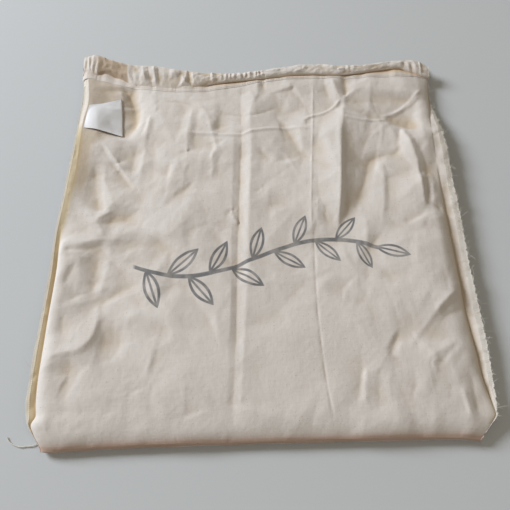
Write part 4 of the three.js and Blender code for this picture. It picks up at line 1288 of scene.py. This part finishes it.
def stitch_line(points, path, pitch, share, lift):
    """Stitches along a line of places on the cloth, each a short strand that dips in at its ends."""
    run = running_length(np.array([on_cloth(points, row, column, 0) for row, column in path]))
    rows_columns = np.array(path, float)
    rise = lift * np.array(STITCH_ARCH)
    strands = []
    for start in np.arange(FIRST_STITCH, run[-1] - pitch, pitch):
        start = start + rng.uniform(-STITCH_WANDER, STITCH_WANDER)
        at = start + pitch * share * np.linspace(0, 1, len(STITCH_ARCH))
        place = [np.interp(at, run, rows_columns[:, i]) for i in (0, 1)]
        strands.append([on_cloth(points, r, c, up) for r, c, up in zip(*place, rise)])
    return strands


def hem_stitches(points, above, first, last):
    """A line of stitches on the turned hem, a distance above its edge, between two places across it."""
    lip = len(LIP) - 1
    path = []
    columns = np.nonzero((points[lip, :, 0] > first) & (points[lip, :, 0] < last))[0]
    for column in columns[::STITCH_COLUMNS]:
        up = np.linalg.norm(np.diff(points[lip:, column], axis=0), axis=1).cumsum()
        path.append((lip + 1 + np.interp(above, up, np.arange(len(up))), column))
    return stitch_line(points, path, **HEM_STITCH)


def overlock(points, panel, rim, inner):
    """The looped stitches that bind the raw edge of a seam allowance."""
    outward = 1 if rim > inner else -1
    rows = np.arange(panel[0] + OVERLOCK_ENDS[0], panel[1] - OVERLOCK_ENDS[1], 1.0)
    run = running_length(np.array([on_cloth(points, row, rim, 0) for row in rows]))
    pitch = NEEDLE_STITCH["pitch"]
    loops = []
    for start in np.arange(FIRST_STITCH, run[-1] - pitch, pitch):
        low, mid, high = (np.interp(start + pitch * share, run, rows) for share in LOOP_SHARES)
        wide = mix(inner, rim, rng.uniform(*LOOP_WIDTH))
        half_way = mix(wide, rim, 0.5)
        edge = on_cloth(points, mid, rim, 0)
        out = np.array([outward * rng.uniform(*LOOP_OUT), 0, 0])
        over = [
            on_cloth(points, low, wide, LOOP_LIFT),
            on_cloth(points, mix(low, mid, CROSSING["over"]), half_way, CROSSING_LIFT),
        ]
        over += [edge + reach * out + (0, 0, up) for reach, up in LOOP_ROUND]
        back = [
            edge + LOOP_BACK[0] * out + (0, 0, LOOP_BACK[1]),
            on_cloth(points, mix(mid, high, CROSSING["back"]), half_way, CROSSING_LIFT),
            on_cloth(points, high, wide, LOOP_LIFT),
        ]
        loops.extend([over, back])
    line = [(row, mix(inner, rim, NEEDLE_LINE)) for row in rows]
    return loops + stitch_line(points, line, **NEEDLE_STITCH)


def edge_fuzz(points, panel, rim, outward, count):
    """Loose fibres along a raw edge."""
    steps = np.linspace(0, 1, FIBRE_POINTS)[:, None]
    fibres = []
    for _ in range(count):
        row = rng.uniform(panel[0] + FIBRE_ENDS[0], panel[1] - FIBRE_ENDS[1])
        at = on_cloth(points, row, rim, FIBRE)
        out = outward * rng.uniform(*FIBRE_OUT)
        way = np.array([out, rng.normal(0, FIBRE_SWAY), rng.normal(*FIBRE_LIFT)])
        length = rng.gamma(*FIBRE_LENGTH)
        curl = rng.normal(0, FIBRE_CURL, 3)
        fibre = at + length * (way * steps + curl * steps**2)
        fibre[:, 2] = np.maximum(fibre[:, 2], FIBRE_FLOOR)
        fibres.append(fibre)
    return fibres


def lint_knob(middle, size):
    """A small tangle of lint: one long fibre wound about itself."""
    turns = rng.normal(0, 1, (LINT_TURNS, 3))
    turns /= np.linalg.norm(turns, axis=1)[:, None]
    depths = rng.uniform(*LINT_DEPTHS, (LINT_TURNS, 1))
    return smooth_path(np.array(middle) + size * turns * depths, spacing=0.5)


def care_label():
    """A satin label folded double, caught in the left seam by its two ends."""
    bm = bmesh.new()
    bm.loops.layers.uv.new("satin")
    bmesh.ops.create_grid(bm, **LABEL_GRID, size=0.5, calc_uvs=True)
    piece = mesh_object("care_label_satin", bm)
    grid = np.empty(len(piece.data.vertices) * 3, np.float32)
    piece.data.vertices.foreach_get("co", grid)
    grid = grid.reshape(-1, 3).astype(float)
    run, up = 2 * (grid[:, 0] + 0.5), grid[:, 1] + 0.5
    out = np.where(run < 1, run, 2 - run)
    layer = np.clip((run - 1) / LABEL_TURN, -1, 1)
    seam_top, seam_foot, free_top, free_foot = np.array(LABEL_CORNERS, float)
    near = mix(seam_foot, seam_top, up[:, None])
    far = mix(free_foot, free_top, up[:, None])
    flat = mix(near, far, out[:, None])
    x, y = flat[:, 0], flat[:, 1]
    under = front_height(x[:, None], y[:, None], side_columns(y))[:, 0]
    level = mix(np.median(under), under, LABEL_FOLLOWS)
    bow = LABEL_BOW * np.sin(math.pi * up ** LABEL_LEAN["bow_down"])
    bow *= np.sin(math.pi * out ** LABEL_LEAN["bow_in"])
    lift = LABEL_LIFT * (1 - up) * np.sin(math.pi * out ** LABEL_LEAN["foot_in"])
    z = np.maximum(level + bow + lift, under) + LABEL_CLEAR
    z -= LABEL_PLIES / 2 * np.sin(layer * math.pi / 2)
    set_points(piece, np.column_stack([x, y, z]))
    return piece


def new_material(name):
    material = bpy.data.materials.new(name)
    material.use_nodes = True
    return material, material.node_tree, material.node_tree.nodes["Principled BSDF"]


def feed(tree, target, inputs):
    """Sets a node's inputs, each to a value or to another node's output."""
    for name, value in inputs.items():
        socket = target.inputs[name]
        if isinstance(value, bpy.types.NodeSocket):
            tree.links.new(value, socket)
        else:
            socket.default_value = value


def node(tree, kind, inputs=(), **settings):
    """A shader node with its settings and its inputs."""
    made = tree.nodes.new(kind)
    for name, value in settings.items():
        setattr(made, name, value)
    feed(tree, made, dict(inputs))
    return made


def math_node(tree, operation, a, b=0.0):
    return node(tree, "ShaderNodeMath", {0: a, 1: b}, operation=operation).outputs[0]


def blend_colour(tree, share, a, b, blend="MIX"):
    inputs = {0: share, 6: a, 7: b}
    return node(tree, "ShaderNodeMix", inputs, data_type="RGBA", blend_type=blend).outputs[2]


def ramp(tree, value, low, high, bottom=0.0, top=1.0):
    inputs = {"Value": value, "From Min": low, "From Max": high, "To Min": bottom, "To Max": top}
    return node(tree, "ShaderNodeMapRange", inputs, interpolation_type="SMOOTHSTEP").outputs["Result"]


def noise(tree, place, scale, detail, roughness=0.5):
    inputs = {"Vector": place, "Scale": scale, "Detail": detail, "Roughness": roughness}
    return node(tree, "ShaderNodeTexNoise", inputs).outputs["Fac"]


def bands(tree, place, direction, scale, distortion):
    inputs = {"Vector": place, "Scale": scale, "Distortion": distortion, "Detail": 1.0}
    made = node(tree, "ShaderNodeTexWave", inputs, wave_type="BANDS", bands_direction=direction)
    return made.outputs["Fac"]


def raised(tree, height, strength, distance, under=None):
    """A bump, over another one where there is one under it."""
    inputs = {"Height": height, "Strength": strength, "Distance": distance}
    if under is not None:
        inputs["Normal"] = under
    return node(tree, "ShaderNodeBump", inputs).outputs[0]


def stem_level(x):
    return STEM_LEVEL + STEM_SWAY * math.sin(x * STEM_RATE)


def sprig_leaves():
    """Middle, turn and half length of each leaf along the stem, and of the one at its tip."""
    leaves = []
    for i in range(LEAF_COUNT):
        x = SPRIG_START + LEAF_SPACING * i
        lean = math.atan(STEM_SWAY * STEM_RATE * math.cos(x * STEM_RATE))
        upward = 1 if i % 2 else -1
        half = LEAF_HALF - LEAF_SHRINK * i
        turn = lean + upward * math.radians(LEAF_ANGLE)
        leaves.append((x + half * math.cos(turn), stem_level(x) + half * math.sin(turn), turn, half))
    tip = SPRIG_START + LEAF_SPACING * LEAF_COUNT
    leaves.append((tip + TIP_LEAF[0], stem_level(tip) + TIP_LEAF[1], *TIP_LEAF[2:]))
    return leaves


def leaf_ink(tree, place, x, y, turn, half):
    """Ink along a leaf's outline and the vein down its middle."""
    inputs = {"Vector": place, "Location": (x, y, 0), "Rotation": (0, 0, turn),
              "Scale": (half, half * LEAF_BREADTH, 1)}
    local = node(tree, "ShaderNodeMapping", inputs, vector_type="TEXTURE").outputs[0]
    part = node(tree, "ShaderNodeSeparateXYZ", {0: local}).outputs
    off_vein = math_node(tree, "ABSOLUTE", part["Y"])
    reach = math_node(tree, "ADD", math_node(tree, "MULTIPLY", part["X"], part["X"]), off_vein)
    off_edge = math_node(tree, "ABSOLUTE", math_node(tree, "SUBTRACT", reach, LEAF_EDGE))
    vein = math_node(tree, "MULTIPLY", ramp(tree, off_vein, *VEIN_HALF), ramp(tree, reach, *VEIN_END))
    return math_node(tree, "MAXIMUM", ramp(tree, off_edge, *LEAF_EDGE_HALF), vein)


def stem_ink(tree, x, y):
    wave = math_node(tree, "SINE", math_node(tree, "MULTIPLY", x, STEM_RATE))
    level = math_node(tree, "ADD", math_node(tree, "MULTIPLY", wave, STEM_SWAY), STEM_LEVEL)
    off = math_node(tree, "ABSOLUTE", math_node(tree, "SUBTRACT", y, level))
    ends = math_node(tree, "MULTIPLY", *(ramp(tree, x, *end) for end in STEM_ENDS))
    return math_node(tree, "MULTIPLY", ramp(tree, off, *STEM_HALF), ends)


def sprig_print(tree, place):
    """A plain leafy sprig in outline, printed on the far side of the front layer and showing through."""
    part = node(tree, "ShaderNodeSeparateXYZ", {0: place}).outputs
    ink = stem_ink(tree, part["X"], part["Y"])
    for leaf in sprig_leaves():
        ink = math_node(tree, "MAXIMUM", ink, leaf_ink(tree, place, *leaf))
    return math_node(tree, "MULTIPLY", ink, ramp(tree, part["Z"], *PRINT_HEIGHT))


def cotton():
    material, tree, cloth = new_material("cream_cotton")
    flat = node(tree, "ShaderNodeUVMap", uv_map="weave").outputs["UV"]
    place = node(tree, "ShaderNodeTexCoord").outputs["Object"]

    # plain weave of about eleven threads a centimetre, with thicker slubs in both directions
    warp = bands(tree, flat, "X", scale=345.0, distortion=0.4)
    weft = bands(tree, flat, "Y", scale=330.0, distortion=0.4)
    weave = math_node(tree, "MULTIPLY", *(math_node(tree, "SUBTRACT", way, 0.5) for way in (warp, weft)))
    slubs = []
    for stretch in ((55, 900, 1), (900, 55, 1)):
        run = node(tree, "ShaderNodeMapping", {"Vector": flat, "Scale": stretch}).outputs[0]
        slubs.append(noise(tree, run, scale=1.0, detail=2.0, roughness=0.6))
    slub = math_node(tree, "ADD", *slubs)

    mottle = noise(tree, place, scale=26.0, detail=3.0, roughness=0.55)
    fleck = noise(tree, flat, scale=620.0, detail=0.0)
    cream = blend_colour(tree, ramp(tree, mottle, 0.3, 0.7), *CREAM)
    cream = blend_colour(tree, ramp(tree, slub, 0.85, 1.25, top=0.35), cream, SLUB_CREAM)
    cream = blend_colour(tree, ramp(tree, fleck, 0.76, 0.82, top=0.35), cream, FLECK_BROWN)
    # painted shade and painted light from the tints, multiplied into the cream
    shade = node(tree, "ShaderNodeAttribute", attribute_name="shade").outputs["Color"]
    cream = blend_colour(tree, 1.0, cream, shade, "MULTIPLY")
    patchy = ramp(tree, noise(tree, place, scale=90.0, detail=2.0), 0.3, 0.65, bottom=0.66, top=0.92)
    ink = math_node(tree, "MULTIPLY", sprig_print(tree, place), patchy)

    crinkle = noise(tree, place, scale=210.0, detail=3.0)
    relief = raised(tree, crinkle, strength=0.4, distance=0.0008)
    relief = raised(tree, slub, strength=0.35, distance=0.0002, under=relief)
    relief = raised(tree, weave, strength=0.5, distance=0.0003, under=relief)
    feed(tree, cloth, {
        "Base Color": blend_colour(tree, ink, cream, INK_GREY), "Normal": relief, "Roughness": 0.92,
        "Specular IOR Level": 0.2, "Sheen Weight": 0.12, "Sheen Roughness": 0.5,
    })
    return material


def satin():
    material, tree, ribbon = new_material("white_label_satin")
    flat = node(tree, "ShaderNodeUVMap", uv_map="satin").outputs["UV"]
    lines = bands(tree, flat, "Y", scale=36.0, distortion=0.6)
    cloud = noise(tree, flat, scale=5.0, detail=3.0)
    shares = ((lines, 0.35), (cloud, 0.65))
    shade = math_node(tree, "ADD", *(math_node(tree, "MULTIPLY", *share) for share in shares))
    feed(tree, ribbon, {
        "Base Color": blend_colour(tree, shade, *LABEL_WHITE),
        "Normal": raised(tree, lines, strength=0.2, distance=0.0002),
        "Roughness": ramp(tree, cloud, 0.3, 0.7, bottom=0.55, top=0.7), "Sheen Weight": 0.1,
    })
    return material


def sewing_thread():
    material, tree, strand = new_material("cream_sewing_thread")
    place = node(tree, "ShaderNodeTexCoord").outputs["Object"]
    twist = noise(tree, place, scale=1800.0, detail=1.0)
    feed(tree, strand, {
        "Base Color": blend_colour(tree, twist, *THREAD_CREAM),
        "Normal": raised(tree, twist, strength=0.4, distance=0.0002),
        "Roughness": 0.8, "Sheen Weight": 0.15,
    })
    return material


def dress(piece, material):
    piece.data.materials.append(material)
    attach(piece, "root")


def main():
    photo_camera()
    pale_floor()
    room_light()
    cream, white, thread = cotton(), satin(), sewing_thread()

    # the loose thread
    route = smooth_path(THREAD_ROUTE, THREAD_SPACING)
    route = np.column_stack([route, np.full(len(route), THREAD_LEVEL)])
    tail = thread_object("loose_thread_tail", [route], THREAD, sides=2)
    dress(tail, thread)
    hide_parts("loose_thread")

    # the cloth and its turned hem
    points, marks = cloth_points()
    sheet, run = cloth_object("bag_sheet", points, cloth_shades(points, marks))
    dress(sheet, cream)
    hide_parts("bag_cloth")
    hem_grid, face = hem_points()
    hem, hem_run = cloth_object("mouth_hem", hem_grid, hem_shades(hem_grid, face))
    dress(hem, cream)

    # the label
    label = care_label()
    dress(label, white)
    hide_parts("care_label")

    # stitches and edges
    last = points.shape[1] - 1
    left_seam, right_seam = FLANGE_COLUMNS, last - FLANGE_COLUMNS
    panel = marks["panel"]
    hems = [stitch for line in HEM_LINES for stitch in hem_stitches(hem_grid, *line)]
    hem_threads = thread_object("hem_stitches", hems, STITCH_THREAD)
    left_edge = thread_object("left_overlock", overlock(points, panel, 0, left_seam), OVERLOCK_THREAD)
    right_edge = thread_object("right_overlock", overlock(points, panel, last, right_seam), OVERLOCK_THREAD)
    fuzz = edge_fuzz(points, panel, last, 1, FIBRE_COUNTS["right"])
    fuzz += edge_fuzz(points, panel, 0, -1, FIBRE_COUNTS["left"])
    fuzz.append(smooth_path(CORNER_FIBRE, spacing=1))
    fuzz.append(lint_knob(LINT_PLACE, LINT_SIZE))
    fibres = thread_object("edge_fibres", fuzz, FIBRE, sides=0)
    trims = [hem_threads, left_edge, right_edge, fibres]
    for piece in trims:
        dress(piece, thread)


main()
